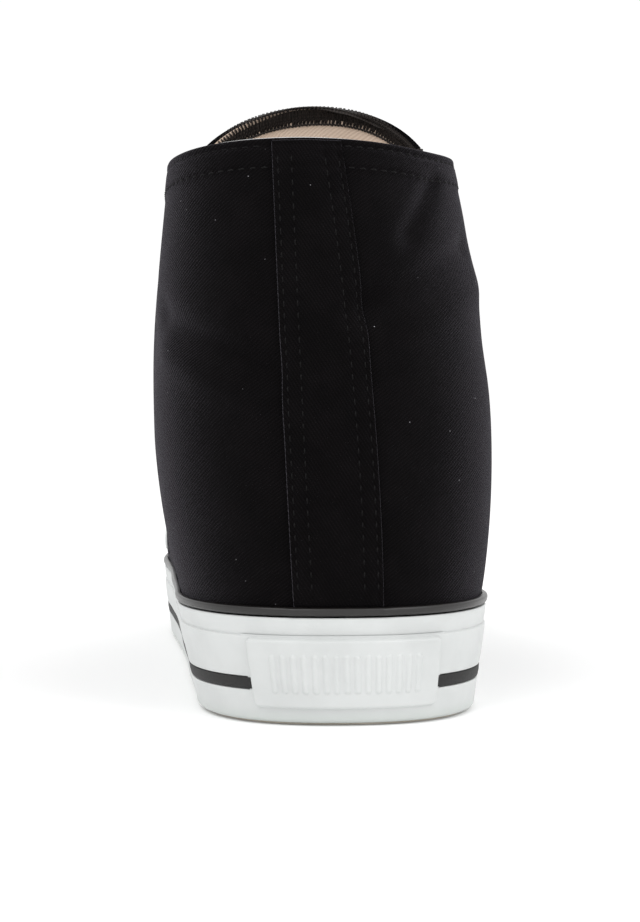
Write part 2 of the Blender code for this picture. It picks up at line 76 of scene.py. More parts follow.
outlineRows = (
    # along, spread, outer, inner, sway
    (0.00, 0.00, 0.492, 0.504, 0.000),
    (0.15, 0.00, 0.492, 0.504, 0.000),
    (0.30, 0.05, 0.508, 0.470, 0.000),
    (0.42, 0.20, 0.502, 0.424, 0.003),
    (0.52, 0.50, 0.490, 0.432, 0.016),
    (0.62, 0.85, 0.486, 0.472, 0.036),
    (0.72, 1.00, 0.503, 0.500, 0.054),
    (0.82, 1.00, 0.504, 0.490, 0.068),
    (0.92, 1.00, 0.488, 0.470, 0.084),
    (1.00, 1.00, 0.472, 0.455, 0.094),
)
wallRows = (
    # along, height of the side wall's head
    (0.00, 0.978),
    (0.15, 1.000),
    (0.30, 0.992),
    (0.50, 0.928),
    (0.75, 0.900),
    (1.00, 0.910),
)
headRows = (
    # along, half width, height, bend, swell, where the facing begins
    (0.03, 0.328, 1.000, 0.10, 0.020, 0.93),
    (0.10, 0.331, 0.988, 0.10, 0.038, 0.93),
    (0.18, 0.334, 0.980, 0.12, 0.048, 0.93),
    (0.26, 0.335, 0.988, 0.18, 0.050, 0.92),
    (0.33, 0.320, 1.044, 0.28, 0.046, 0.84),
    (0.37, 0.270, 1.072, 0.38, 0.042, 0.80),
    (0.45, 0.195, 0.915, 0.52, 0.040, 0.78),
    (0.55, 0.145, 0.742, 0.68, 0.034, 0.74),
    (0.62, 0.115, 0.632, 0.82, 0.028, 0.70),
    (0.66, 0.100, 0.574, 0.92, 0.024, 0.68),
    (0.70, 0.060, 0.522, 1.00, 0.022, 0.68),
    (0.80, 0.050, 0.425, 1.00, 0.022, 0.68),
    (0.88, 0.050, 0.368, 1.00, 0.022, 0.68),
    (0.93, 0.050, 0.334, 1.00, 0.020, 0.68),
)


def readRows(rows, at):
    # values of a table at this station, on a smooth curve through its rows
    table = np.array(rows)
    end = len(table) - 1
    at = np.clip(np.asarray(at, float), table[0, 0], table[end, 0])
    k = np.clip(np.searchsorted(table[:, 0], at) - 1, 0, end - 1)
    before, here = table[np.maximum(k - 1, 0)], table[k]
    there, after = table[k + 1], table[np.minimum(k + 2, end)]
    run = there[..., :1] - here[..., :1]
    s = (at[..., None] - here[..., :1]) / run
    slopeHere = (there - before) / (there[..., :1] - before[..., :1]) * run
    slopeThere = (after - here) / (after[..., :1] - here[..., :1]) * run
    values = (2 * s**3 - 3 * s**2 + 1) * here + (s**3 - 2 * s**2 + s) * slopeHere
    values = values + (3 * s**2 - 2 * s**3) * there + (s**3 - s**2) * slopeThere
    return np.moveaxis(values[..., 1:], -1, 0)


def mix(a, b, share):
    return a + (b - a) * share


def ease(low, high, at):
    # soft step from 0 at low to 1 at high
    s = np.clip((at - low) / (high - low), 0.0, 1.0)
    return s * s * (3 - 2 * s)


def hump(at, width):
    return np.exp(-((at / width) ** 2))


def unit(vectors):
    return vectors / np.maximum(np.linalg.norm(vectors, axis=-1, keepdims=True), 1e-12)


def point(x, y, z):
    return np.stack(np.broadcast_arrays(x, y, z), axis=-1).astype(float)


def alongAt(turn):
    # station along the shoe, 0 at the heel and 1 at the toe; turn is -1 to 1 round it
    return (1 - np.cos(np.pi * np.abs(turn))) / 2


def turnAt(along):
    return np.arccos(1 - 2 * np.asarray(along, float)) / np.pi


def wrap(turn):
    return np.where(turn > 1, turn - 2, np.where(turn < -1, turn + 2, turn))


def roundStart(along, start, span, power=2):
    # half width as a share, rounding up from 0 at the start
    s = np.clip((along - start) / span, 0.0, 1.0)
    return np.maximum(0.0, 1 - (1 - s) ** power) ** (1 / power)


def roundEnd(along, end, span, power):
    s = np.clip((along - (end - span)) / span, 0.0, 1.0)
    return np.maximum(0.0, 1 - s**power) ** (1 / power)


def outlinePoint(turn):
    # the sole's outline seen from above; negative turns are the outer side
    along = alongAt(turn)
    spread, outer, inner, sway = readRows(outlineRows, along)
    width = mix(last["heelWidth"], last["ballWidth"], spread)
    half = np.where(turn < 0, outer, inner)
    half = half * roundStart(along, 0, last["heelRound"], last["heelPower"])
    half = half * roundEnd(along, 1, last["toeRound"], last["toePower"])
    side = np.where(turn < 0, -1.0, 1.0)
    return point(sway * last["ballWidth"] + side * half * width, along * last["length"], 0.0)


def outlineNormal(turn):
    way = outlinePoint(wrap(turn + 1e-3)) - outlinePoint(wrap(turn - 1e-3))
    return unit(point(way[..., 1], -way[..., 0], 0.0))


def place(points):
    # toe spring, the shaft's lean, and the origin under the heel
    x, y, z = points[..., 0], points[..., 1], points[..., 2]
    at = y / last["length"]
    lean = last["shaftLean"] * z * (1 - ease(last["leanFull"], last["leanNone"], at))
    s = np.maximum(0.0, at - last["springStart"]) / (1 - last["springStart"])
    return point(x - lean, y - last["heelCentre"], z + last["toeSpring"] * s * s)


def wallHead(turn):
    return last["wallHeight"] * readRows(wallRows, alongAt(turn))[0]


def solePoint(turn, inset, height):
    # a point of the side wall, this far in from its face, with the wall's draft
    full = mix(last["heelDraft"], last["toeDraft"], alongAt(turn))
    inward = inset + full * (1 - height / wallHead(turn))
    spot = outlinePoint(turn) - outlineNormal(turn) * inward[..., None]
    return point(spot[..., 0], spot[..., 1], height)


def headAlong(turn):
    return mix(last["collarBack"], last["ridgeFront"], alongAt(turn))


def headTurn(along):
    # the turn at which the upper's edge passes this station
    return turnAt((along - last["collarBack"]) / (last["ridgeFront"] - last["collarBack"]))


def headValues(turn):
    # the edge of the opening over this turn, and the shape of the wall under it
    along = headAlong(turn)
    half, height, bend, swell, facing = readRows(headRows, along)
    half = half * roundStart(along, last["collarBack"], last["collarRound"])
    half = half * roundEnd(along, last["throatEnd"], last["throatRound"], 2)
    sway = readRows(outlineRows, along)[3] * last["ballWidth"]
    slant = 1 - ease(last["collarBack"], last["collarBack"] + last["collarRound"], along)
    side = np.where(turn < 0, -1.0, 1.0)
    across = sway - last["heelSlant"] * slant + side * half * last["ballWidth"]
    lift = last["innerLift"] * ease(0.06, 0.15, along) * (1 - ease(0.24, 0.33, along)) * (turn > 0)
    head = point(across, along * last["length"], height * last["collarHeight"] + lift)
    return head, bend * np.pi / 2, swell * last["ballWidth"], facing


def upperPoint(turn, share):
    # a point of the upper: share is 0 at the side wall and 1 at the opening
    foot = solePoint(turn, last["wallThickness"] + last["clear"], wallHead(turn))
    head, bend, swell, _ = headValues(turn)
    angle = bend * share
    inward = (1 - np.cos(angle)) / (1 - np.cos(bend))
    upward = np.sin(angle) / np.sin(bend)
    out = outlineNormal(turn) * (swell * np.sin(np.pi * share ** last["swellPower"]))[..., None]
    return point(
        mix(foot[..., 0], head[..., 0], inward) + out[..., 0],
        mix(foot[..., 1], head[..., 1], inward) + out[..., 1],
        mix(foot[..., 2], head[..., 2], upward),
    )


def sideNormal(turn, share):
    low, high = np.maximum(0.0, share - 1e-3), np.minimum(1.0, share + 1e-3)
    across = upperPoint(wrap(turn + 1e-3), share) - upperPoint(wrap(turn - 1e-3), share)
    return unit(np.cross(across, upperPoint(turn, high) - upperPoint(turn, low)))


def upperNormal(turn, share):
    plain = sideNormal(turn, share)
    ridge = np.full_like(share, last["ridgeShare"])
    both = unit(sideNormal(turn, ridge) + sideNormal(-turn, ridge))
    onRidge = (share >= 1.0) & (headAlong(turn) >= last["throatEnd"])
    return np.where(onRidge[..., None], both, plain)


# Flat measure of the cloth: u round the shoe from the middle of the back, v up the wall
measureTurns = np.linspace(-1, 1, 401)
measureShares = np.linspace(0, 1, 81)
measured = place(upperPoint(*np.meshgrid(measureTurns, measureShares, indexing="ij")))
stepsRound = np.linalg.norm(np.diff(measured, axis=0), axis=-1)
measuredU = np.concatenate([np.zeros((1, 81)), np.cumsum(stepsRound, axis=0)])
measuredU -= measuredU[200]
stepsUp = np.linalg.norm(np.diff(measured, axis=1), axis=-1)
measuredV = np.concatenate([np.zeros((401, 1)), np.cumsum(stepsUp, axis=1)], axis=1)


def between(table, turn, share):
    a, b = (turn + 1) * 200, share * 80
    i = np.clip(np.floor(a).astype(int), 0, 399)
    j = np.clip(np.floor(b).astype(int), 0, 79)
    s, t = a - i, b - j
    low = mix(table[i, j], table[i + 1, j], s)
    high = mix(table[i, j + 1], table[i + 1, j + 1], s)
    return mix(low, high, t)


def measureAt(turn, share):
    turn, share = np.broadcast_arrays(np.asarray(turn, float), np.asarray(share, float))
    return between(measuredU, turn, share), between(measuredV, turn, share)


def belowHead(turn, share):
    # distance down the cloth from the edge of the opening
    return measureAt(turn, np.ones_like(share))[1] - measureAt(turn, share)[1]


# Soft troughs and ridges of the cloth, listed one by one: u, v at each end, depth, half width
creases = (
    (0.0105, 0.0690, 0.0470, 0.0840, -0.0016, 0.0040),
    (0.0130, 0.0610, 0.0500, 0.0740, 0.0010, 0.0048),
    (0.0240, 0.0870, 0.0340, 0.0990, -0.0013, 0.0030),
    (-0.0470, 0.0670, -0.0140, 0.0550, -0.0015, 0.0042),
    (-0.0440, 0.0580, -0.0150, 0.0460, 0.0009, 0.0046),
    (-0.0900, 0.0520, -0.0620, 0.0620, -0.0006, 0.0080),
    (0.0620, 0.0600, 0.0900, 0.0480, -0.0006, 0.0080),
    (0.1050, 0.0780, 0.1300, 0.0560, -0.0010, 0.0055),
    (-0.1300, 0.0560, -0.1040, 0.0790, -0.0010, 0.0055),
    (0.1650, 0.0320, 0.1900, 0.0560, -0.0009, 0.0050),
    (-0.1950, 0.0580, -0.1680, 0.0330, -0.0009, 0.0050),
    (0.2050, 0.0300, 0.2150, 0.0560, -0.0008, 0.0045),
    (-0.2220, 0.0560, -0.2100, 0.0300, -0.0008, 0.0045),
)
hem = {
    "width": 0.0066,
    "rise": 0.00035,
    "rows": (0.0013, 0.0064),
    "dip": 0.00034,
    "pitch": 0.0028,
    "ends": 0.385,  # station where the hem gives way to the eyestay
}


def creaseOut(turn, share):
    # how far the creases move the cloth in or out
    u, v = measureAt(turn, share)
    out = np.zeros_like(u)
    for u0, v0, u1, v1, depth, width in creases:
        du, dv = u1 - u0, v1 - v0
        size = math.hypot(du, dv)
        s = ((u - u0) * du + (v - v0) * dv) / size**2
        off = (u - u0) * dv / size - (v - v0) * du / size
        ends = np.maximum(0.0, np.maximum(-s, s - 1)) * size
        out += depth * hump(off, width) * hump(ends, width * 1.6)
    return out * ease(0.0, 0.12, share) * ease(0.0, 0.010, belowHead(turn, share))


def hemOut(turn, share):
    below = belowHead(turn, share)
    u = measureAt(turn, share)[0]
    out = hem["rise"] * (1 - ease(hem["width"] - 0.0003, hem["width"] + 0.0009, below))
    pucker = 0.65 + 0.35 * np.cos(2 * np.pi * u / hem["pitch"])
    for row in hem["rows"]:
        out = out - hem["dip"] * hump(below - row, 0.0006) * pucker
    return out * (headAlong(turn) < hem["ends"])


def clothPlace(turn, share, out=0.0):
    # a point on the creased cloth, this far out from it
    turn, share = np.broadcast_arrays(np.asarray(turn, float), np.asarray(share, float))
    total = creaseOut(turn, share) + out
    return place(upperPoint(turn, share) + upperNormal(turn, share) * total[..., None])


def smoothPlace(turn, share, out=0.0):
    # the same without the creases
    turn, share = np.broadcast_arrays(np.asarray(turn, float), np.asarray(share, float))
    moved = upperNormal(turn, share) * (np.zeros_like(share) + out)[..., None]
    return place(upperPoint(turn, share) + moved)


def turnFor(u, share):
    # turn, near the back, at which the cloth is this far round from the middle
    turns = np.linspace(-0.2, 0.2, 161)
    found = [np.interp(a, measureAt(turns, np.full(161, b))[0], turns) for a, b in zip(u, share)]
    return np.array(found)


def findTurn(across, limit):
    # turn, near the back, at which across() reaches the limit
    low, high = 0.0, 0.25
    for _ in range(40):
        middle = (low + high) / 2
        if across(np.array(middle)) < limit:
            low = middle
        else:
            high = middle
    return low


print("last ready")


# Meshes

def addPiece(name, vertices, faces, uvs, materials, slots=None, weld=1e-6, sharp=40, slotName=None):
    mesh = bpy.data.meshes.new(name)
    mesh.from_pydata(vertices.tolist(), [], faces.tolist() if hasattr(faces, "tolist") else faces)
    if uvs is not None:
        layer = mesh.uv_layers.new(name="cloth")
        layer.data.foreach_set("uv", np.asarray(uvs, np.float32).ravel())
    for material in materials:
        mesh.materials.append(material)
    if slots is not None:
        mesh.polygons.foreach_set("material_index", np.asarray(slots, np.int32))
    if weld:
        bm = bmesh.new()
        bm.from_mesh(mesh)
        bmesh.ops.remove_doubles(bm, verts=bm.verts, dist=weld)
        bmesh.ops.dissolve_degenerate(bm, edges=bm.edges, dist=weld)
        bm.to_mesh(mesh)
        bm.free()
    mesh.shade_smooth()
    mesh.set_sharp_from_angle(angle=math.radians(sharp))
    made = bpy.data.objects.new(name, mesh)
    bpy.context.scene.collection.objects.link(made)
    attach(made, "root")
    return made


def gridFaces(columns, rows, closed=False, base=0, flip=False):
    # quads of a grid whose points run along rows first; closed joins the last row to the first
    i = np.arange(columns - 1)[:, None]
    j = np.arange(rows if closed else rows - 1)[None, :]
    nextRow = (j + 1) % rows
    corners = [i * rows + j, (i + 1) * rows + j, (i + 1) * rows + nextRow, i * rows + nextRow]
    if flip:
        corners = corners[::-1]
    return np.stack(np.broadcast_arrays(*corners), axis=-1).reshape(-1, 4) + base


def gridUvs(u, v, closed=False, flip=False):
    if closed:
        u = np.concatenate([u, u[:, :1]], axis=1)
        v = np.concatenate([v, v[:, :1]], axis=1)
    pairs = np.stack([u, v], axis=-1)
    corners = [pairs[:-1, :-1], pairs[1:, :-1], pairs[1:, 1:], pairs[:-1, 1:]]
    if flip:
        corners = corners[::-1]
    return np.stack(corners, axis=2).reshape(-1, 4, 2)


def thinSheet(outer, inner, u, v):
    # a sheet of two grids: the outer face, and the inner face turned over
    count, rows = outer.shape[:2]
    faces = np.concatenate([
        gridFaces(count, rows),
        gridFaces(count, rows, base=count * rows, flip=True),
    ])
    uvs = np.concatenate([gridUvs(u, v), gridUvs(u, v, flip=True)])
    return np.concatenate([outer.reshape(-1, 3), inner.reshape(-1, 3)]), faces, uvs


def faceOutward(made):
    bm = bmesh.new()
    bm.from_mesh(made.data)
    bmesh.ops.recalc_face_normals(bm, faces=bm.faces)
    bm.to_mesh(made.data)
    bm.free()


def runLength(points):
    # length along a line of points, from its start
    return np.concatenate([[0], np.cumsum(np.linalg.norm(np.diff(points, axis=0), axis=-1))])


def tubeMesh(paths, ups, radius, sides, flat=1.0):
    # closed tubes along many paths of the same number of points
    n, m = paths.shape[:2]
    way = unit(np.gradient(paths, axis=1))
    across = unit(np.cross(way, ups))
    up = np.cross(across, way)
    radius = np.broadcast_to(radius, (n, m))[..., None, None]
    angle = np.arange(sides) / sides * 2 * np.pi
    ring = across[:, :, None] * np.cos(angle)[None, None, :, None]
    ring = ring + up[:, :, None] * np.sin(angle)[None, None, :, None] * flat
    points = paths[:, :, None] + ring * radius
    one = gridFaces(m, sides, closed=True)
    faces = (one[None] + (np.arange(n) * m * sides)[:, None, None]).reshape(-1, 4)
    size = runLength(paths[0])
    u = np.broadcast_to(size[:, None], (m, sides))
    v = np.broadcast_to((np.arange(sides) / sides)[None], (m, sides))
    uvs = np.tile(gridUvs(u, v, closed=True), (n, 1, 1))
    first = np.arange(sides)[::-1]
    caps = [list(first + k * m * sides) for k in range(n)]
    caps += [list(np.arange(sides) + k * m * sides + (m - 1) * sides) for k in range(n)]
    return points.reshape(-1, 3), faces, uvs, caps


def addTubes(name, paths, ups, radius, sides, material, flat=1.0, **rest):
    vertices, faces, uvs, caps = tubeMesh(paths, ups, radius, sides, flat)
    everyFace = faces.tolist() + [[int(c) for c in cap] for cap in caps]
    everyUv = np.concatenate([uvs.reshape(-1, 2), np.zeros((len(caps) * sides, 2))])
    return addPiece(name, vertices, everyFace, everyUv, [material], weld=0, **rest)


# Materials: a small kit for shader nodes, then one function for each finish

class Shader:
    def __init__(self, name):
        self.material = bpy.data.materials.new(name)
        self.material.use_nodes = True
        self.tree = self.material.node_tree
        self.principled = self.tree.nodes["Principled BSDF"]

    def node(self, kind, inputs, output=0, **settings):
        made = self.tree.nodes.new(kind)
        for key, value in settings.items():
            setattr(made, key, value)
        for key, value in inputs.items():
            self.feed(made.inputs[key], value)
        return made.outputs[output]

    def feed(self, socket, value):
        if isinstance(value, bpy.types.NodeSocket):
            self.tree.links.new(value, socket)
        else:
            socket.default_value = value

    def calc(self, operation, a, b=0.0, c=0.0):
        return self.node("ShaderNodeMath", {0: a, 1: b, 2: c}, operation=operation)

    def wave(self, phase):
        turned = self.calc("MULTIPLY", phase, 2 * math.pi)
        return self.calc("MULTIPLY_ADD", self.calc("SINE", turned), 0.5, 0.5)

    def noise(self, vector, scale, detail=2.0, roughness=0.5):
        inputs = {"Vector": vector, "Scale": scale, "Detail": detail, "Roughness": roughness}
        return self.node("ShaderNodeTexNoise", inputs)

    def ramp(self, value, low, high, toLow=0.0, toHigh=1.0):
        inputs = {0: value, 1: low, 2: high, 3: toLow, 4: toHigh}
        return self.node("ShaderNodeMapRange", inputs, interpolation_type="SMOOTHSTEP")

    def blend(self, factor, a, b, mode="MIX"):
        made = self.tree.nodes.new("ShaderNodeMix")
        made.data_type = "RGBA"
        made.blend_type = mode
        for key, value in ((0, factor), (6, a), (7, b)):
            self.feed(made.inputs[key], value)
        return made.outputs[2]

    def position(self):
        return self.node("ShaderNodeNewGeometry", {}, output="Position")

    def clothUv(self):
        uv = self.node("ShaderNodeUVMap", {}, uv_map="cloth")
        made = self.tree.nodes.new("ShaderNodeSeparateXYZ")
        self.tree.links.new(uv, made.inputs[0])
        return uv, made.outputs[0], made.outputs[1]

    def bump(self, height, distance, strength=1.0, under=None):
        inputs = {"Height": height, "Distance": distance, "Strength": strength}
        if under is not None:
            inputs["Normal"] = under
        return self.node("ShaderNodeBump", inputs)

    def finish(self, sockets):
        for key, value in sockets.items():
            self.feed(self.principled.inputs[key], value)
        return self.material


def colour(r, g, b):
    return (r, g, b, 1.0)


blackCanvas = {
    "dark": colour(0.0004, 0.0003, 0.0003),
    "light": colour(0.0098, 0.0080, 0.0090),
    "pitch": 0.00070,
    "ply": 0.00052,
    "depth": 0.00011,
    "sheen": 0.15,
    "sheenRoughness": 0.31,
    "sheenTint": colour(0.92, 0.86, 1.0),
    "lint": colour(0.50, 0.49, 0.52),
    "lintScale": 420.0,
    "lintSize": (0.035, 0.06),
    "lintMiddle": 0.93,  # share of the cells that stay bare at the back
    "lintSides": 0.55,
}


def canvasMaterial(name, angle, settings, lint=True):
    # twill lines rise at this angle, in degrees, on the measured cloth
    made = Shader(name)
    uv, u, v = made.clothUv()
    c, s = math.cos(math.radians(angle)), math.sin(math.radians(angle))
    drift = made.calc("SUBTRACT", made.noise(uv, 260.0, 3.0), 0.5)
    slant = made.calc("SUBTRACT", made.calc("MULTIPLY", v, c), made.calc("MULTIPLY", u, s))
    run = made.calc("ADD", made.calc("MULTIPLY", u, c), made.calc("MULTIPLY", v, s))
    phase = made.calc("MULTIPLY_ADD", drift, 0.55, made.calc("DIVIDE", slant, settings["pitch"]))
    rib = made.wave(phase)
    shift = made.calc("MULTIPLY", made.calc("FLOOR", made.calc("ADD", phase, 0.25)), 0.5)
    ply = made.wave(made.calc("ADD", made.calc("DIVIDE", run, settings["ply"]), shift))
    thread = made.calc("MULTIPLY", rib, made.calc("MULTIPLY_ADD", ply, 0.55, 0.45))
    fuzz = made.ramp(made.noise(uv, 5200.0, 2.0, 0.7), 0.30, 0.70)
    slub = made.ramp(made.noise(uv, 90.0, 4.0, 0.6), 0.35, 0.68)
    nap = made.calc("MULTIPLY_ADD", fuzz, 0.7, 0.1)
    shade = made.calc("MULTIPLY", nap, made.calc("MULTIPLY_ADD", thread, 0.6, 0.3))
    shade = made.calc("MULTIPLY", shade, made.calc("MULTIPLY_ADD", slub, 0.5, 0.7))
    base = made.blend(shade, settings["dark"], settings["light"])
    if lint:
        cell = made.tree.nodes.new("ShaderNodeTexVoronoi")
        cell.inputs["Scale"].default_value = settings["lintScale"]
        made.tree.links.new(uv, cell.inputs["Vector"])
        speck = made.ramp(cell.outputs["Distance"], *settings["lintSize"], 1.0, 0.0)
        pick = made.tree.nodes.new("ShaderNodeSeparateColor")
        made.tree.links.new(cell.outputs["Color"], pick.inputs[0])
        bare = (settings["lintMiddle"], settings["lintSides"])
        aside = made.ramp(made.calc("ABSOLUTE", u), 0.012, 0.055, *bare)
        some = made.calc("GREATER_THAN", pick.outputs[0], aside)
        speck = made.calc("MULTIPLY", made.calc("MULTIPLY", speck, some), pick.outputs[1])
        base = made.blend(speck, base, settings["lint"])
    height = made.calc("MULTIPLY_ADD", fuzz, 0.6, thread)
    return made.finish({
        "Base Color": base,
        "Roughness": 0.92,
        "Specular IOR Level": 0.05,
        "Sheen Weight": settings["sheen"],
        "Sheen Roughness": settings["sheenRoughness"],
        "Sheen Tint": settings["sheenTint"],
        "Normal": made.bump(height, settings["depth"], 0.8),
    })


def plainWeaveMaterial(name, dark, light, pitch, depth, sheen=0.1):
    made = Shader(name)
    uv, u, v = made.clothUv()
    drift = made.calc("MULTIPLY", made.noise(uv, 300.0, 3.0), 0.5)
    a = made.wave(made.calc("ADD", made.calc("DIVIDE", u, pitch), drift))
    b = made.wave(made.calc("ADD", made.calc("DIVIDE", v, pitch), drift))
    over = made.calc("MULTIPLY", a, b)
    under = made.calc("MULTIPLY", made.calc("SUBTRACT", 1.0, a), made.calc("SUBTRACT", 1.0, b))
    weave = made.calc("ADD", over, under)
    fuzz = made.noise(uv, 4200.0, 2.0, 0.7)
    slub = made.noise(uv, 120.0, 4.0, 0.6)
    shade = made.calc("MULTIPLY_ADD", fuzz, 0.4, made.calc("MULTIPLY", weave, 0.5))
    shade = made.calc("MULTIPLY_ADD", made.calc("SUBTRACT", slub, 0.5), 0.9, shade)
    return made.finish({
        "Base Color": made.blend(shade, dark, light),
        "Roughness": 0.9,
        "Specular IOR Level": 0.2,
        "Sheen Weight": sheen,
        "Normal": made.bump(made.calc("MULTIPLY_ADD", fuzz, 0.3, weave), depth, 0.7),
    })


def naturalTwillMaterial(name, angle):
    made = Shader(name)
    uv, u, v = made.clothUv()
    c, s = math.cos(math.radians(angle)), math.sin(math.radians(angle))
    drift = made.calc("MULTIPLY", made.noise(uv, 240.0, 3.0), 0.6)
    slant = made.calc("SUBTRACT", made.calc("MULTIPLY", v, c), made.calc("MULTIPLY", u, s))
    rib = made.wave(made.calc("ADD", made.calc("DIVIDE", slant, 0.00085), drift))
    fuzz = made.noise(uv, 3800.0, 2.0, 0.7)
    slub = made.noise(uv, 110.0, 4.0, 0.6)
    shade = made.calc("MULTIPLY_ADD", rib, 0.4, made.calc("MULTIPLY", fuzz, 0.4))
    shade = made.calc("MULTIPLY_ADD", slub, 0.3, shade)
    return made.finish({
        "Base Color": made.blend(shade, colour(0.55, 0.40, 0.30), colour(0.80, 0.65, 0.53)),
        "Roughness": 0.92,
        "Specular IOR Level": 0.2,
        "Sheen Weight": 0.15,
        "Normal": made.bump(made.calc("MULTIPLY_ADD", fuzz, 0.4, rib), 0.00010, 0.7),
    })


def threadMaterial(name, dark, light, shine=0.2, twist=0.0009):
    made = Shader(name)
    _, u, v = made.clothUv()
    ply = made.wave(made.calc("ADD", made.calc("DIVIDE", u, twist), made.calc("MULTIPLY", v, 2.0)))
    fuzz = made.noise(made.position(), 5000.0, 2.0, 0.7)
    shade = made.calc("MULTIPLY", ply, made.calc("MULTIPLY_ADD", fuzz, 0.8, 0.3))
    return made.finish({
        "Base Color": made.blend(shade, dark, light),
        "Roughness": 0.6,
        "Specular IOR Level": shine,
        "Sheen Weight": 0.02,
        "Normal": made.bump(made.calc("MULTIPLY_ADD", fuzz, 0.3, ply), 0.00008, 0.7),
    })


def whiteRubberMaterial(name, settings):
    made = Shader(name)
    spot = made.position()
    split = made.tree.nodes.new("ShaderNodeSeparateXYZ")
    made.tree.links.new(spot, split.inputs[0])
    cloud = made.noise(spot, 60.0, 4.0, 0.55)
    grain = made.noise(spot, 2600.0, 2.0, 0.6)
    soft = made.noise(spot, 240.0, 2.0, 0.5)
    base = made.blend(made.ramp(cloud, 0.3, 0.7), settings["dark"], settings["light"])
    # painted shade: the rubber turns darker and greener toward its foot, near the floor
    rim = made.ramp(split.outputs[2], settings["footShadeLow"], settings["footShadeHigh"], 1.0, 0.0)
    base = made.blend(made.calc("MULTIPLY", rim, settings["footShadeAmount"]), base, settings["rim"])
    height = made.calc("MULTIPLY_ADD", grain, 0.25, soft)
    return made.finish({
        "Base Color": base,
        "Roughness": made.ramp(grain, 0.2, 0.8, settings["gloss"], settings["gloss"] + 0.12),
        "Specular IOR Level": 0.42,
        "Normal": made.bump(height, settings["depth"], 0.5),
    })


def blackRubberMaterial(name, base, roughness, coat=0.0):
    made = Shader(name)
    spot = made.position()
    grain = made.noise(spot, 1900.0, 3.0, 0.6)
    cloud = made.noise(spot, 130.0, 3.0, 0.5)
    tone = made.blend(cloud, colour(*[c * 0.6 for c in base]), colour(*[c * 1.5 for c in base]))
    return made.finish({
        "Base Color": tone,
        "Roughness": made.ramp(grain, 0.2, 0.8, roughness, roughness + 0.14),
        "Specular IOR Level": 0.5,
        "Coat Weight": coat,
        "Coat Roughness": 0.25,
        "Normal": made.bump(made.calc("MULTIPLY_ADD", cloud, 1.5, grain), 0.00006, 0.6),
    })


def metalMaterial(name):
    made = Shader(name)
    spot = made.position()
    grain = made.noise(spot, 2400.0, 3.0, 0.6)
    cloud = made.noise(spot, 300.0, 2.0, 0.5)
    return made.finish({
        "Base Color": made.blend(cloud, colour(0.62, 0.62, 0.61), colour(0.80, 0.80, 0.79)),
        "Metallic": 1.0,
        "Roughness": made.ramp(grain, 0.2, 0.8, 0.22, 0.36),
        "Normal": made.bump(grain, 0.00003, 0.5),
    })


whiteRubber = {
    "dark": colour(0.54, 0.555, 0.55),
    "light": colour(0.59, 0.605, 0.60),
    # painted shade toward the foot of the rubber, near the floor: its colour, the heights it fades over,
    # and its strength
    "rim": colour(0.48, 0.515, 0.49),
    "footShadeLow": 0.0006,
    "footShadeHigh": 0.0042,
    "footShadeAmount": 0.55,
    "gloss": 0.38,
    "depth": 0.00012,
}

canvas = canvasMaterial("black canvas", 36, blackCanvas)
stripCanvas = canvasMaterial("strip canvas", -60, blackCanvas)
facingCanvas = canvasMaterial("facing canvas", 50, blackCanvas)
liningCotton = plainWeaveMaterial(
    "lining cotton", colour(0.62, 0.62, 0.61), colour(0.86, 0.86, 0.85), 0.0007, 0.00008
)
tongueTwill = naturalTwillMaterial("natural twill", 40)
blackThread = threadMaterial(
    "black thread", colour(0.0008, 0.0007, 0.0008), colour(0.0085, 0.0075, 0.0080), 0.10
)
edgeThread = threadMaterial(
    "edge thread", colour(0.004, 0.0028, 0.0022), colour(0.035, 0.026, 0.022)
)
wallRubber = whiteRubberMaterial("white rubber", whiteRubber)
bandRubber = blackRubberMaterial("band rubber", (0.0055, 0.0045, 0.0040), 0.28, 0.1)
stripeRubber = blackRubberMaterial("stripe rubber", (0.006, 0.0055, 0.0055), 0.6)
eyeletMetal = metalMaterial("eyelet metal")
print("materials ready")

# Turns of the grids, closest at the heel
halfTurns = np.linspace(0, 1, 261)
allTurns = np.concatenate([-halfTurns[:0:-1], halfTurns])


# Eyelets: turn and share of each, from the throat up
lacing = {"count": 7, "first": 0.385, "last": 0.650, "capShare": 0.55, "hole": 0.0024}


def eyeletPlaces(side):
    k = np.arange(lacing["count"]) / (lacing["count"] - 1)
    along = mix(lacing["last"], lacing["first"], k)
    turn = side * headTurn(along)
    return turn, mix(headValues(turn)[3], 1.0, lacing["capShare"])


eyeletSpots = {}
for side, word in ((-1, "outer"), (1, "inner")):
    turn, share = eyeletPlaces(side)
    eyeletSpots[word] = (turn, share, smoothPlace(turn, share), upperNormal(turn, share))
holeMiddles = np.concatenate([eyeletSpots["outer"][2], eyeletSpots["inner"][2]])
holeWays = np.concatenate([eyeletSpots["outer"][3], eyeletSpots["inner"][3]])


def fromHole(points):
    # distance of each point from the nearest eyelet's axis
    nearest = np.full(points.shape[:-1], 1.0)
    for middle, way in zip(holeMiddles, holeWays):
        off = points - middle
        along = off @ way
        away = np.linalg.norm(off - along[..., None] * way, axis=-1)
        nearest = np.where(np.abs(along) < 0.008, np.minimum(nearest, away), nearest)
    return nearest


def keepFaces(vertices, faces, uvs):
    # leaves out the faces that lie in an eyelet's hole
    keep = fromHole(vertices[faces].mean(axis=1)) > lacing["hole"]
    return faces[keep], uvs[keep]


# Canvas of the upper: outer face, rounded edge and inner face in one ring
upperCloth = {
    "canvas": 0.0011,
    "lining": 0.0007,
    "liningRise": 0.0004,
    "backRise": 0.0008,
    "levels": 96,
    "fine": 26,
    "skirt": 0.018,  # how far the cloth runs down behind the side wall
    "rollStep": 0.0003,
}


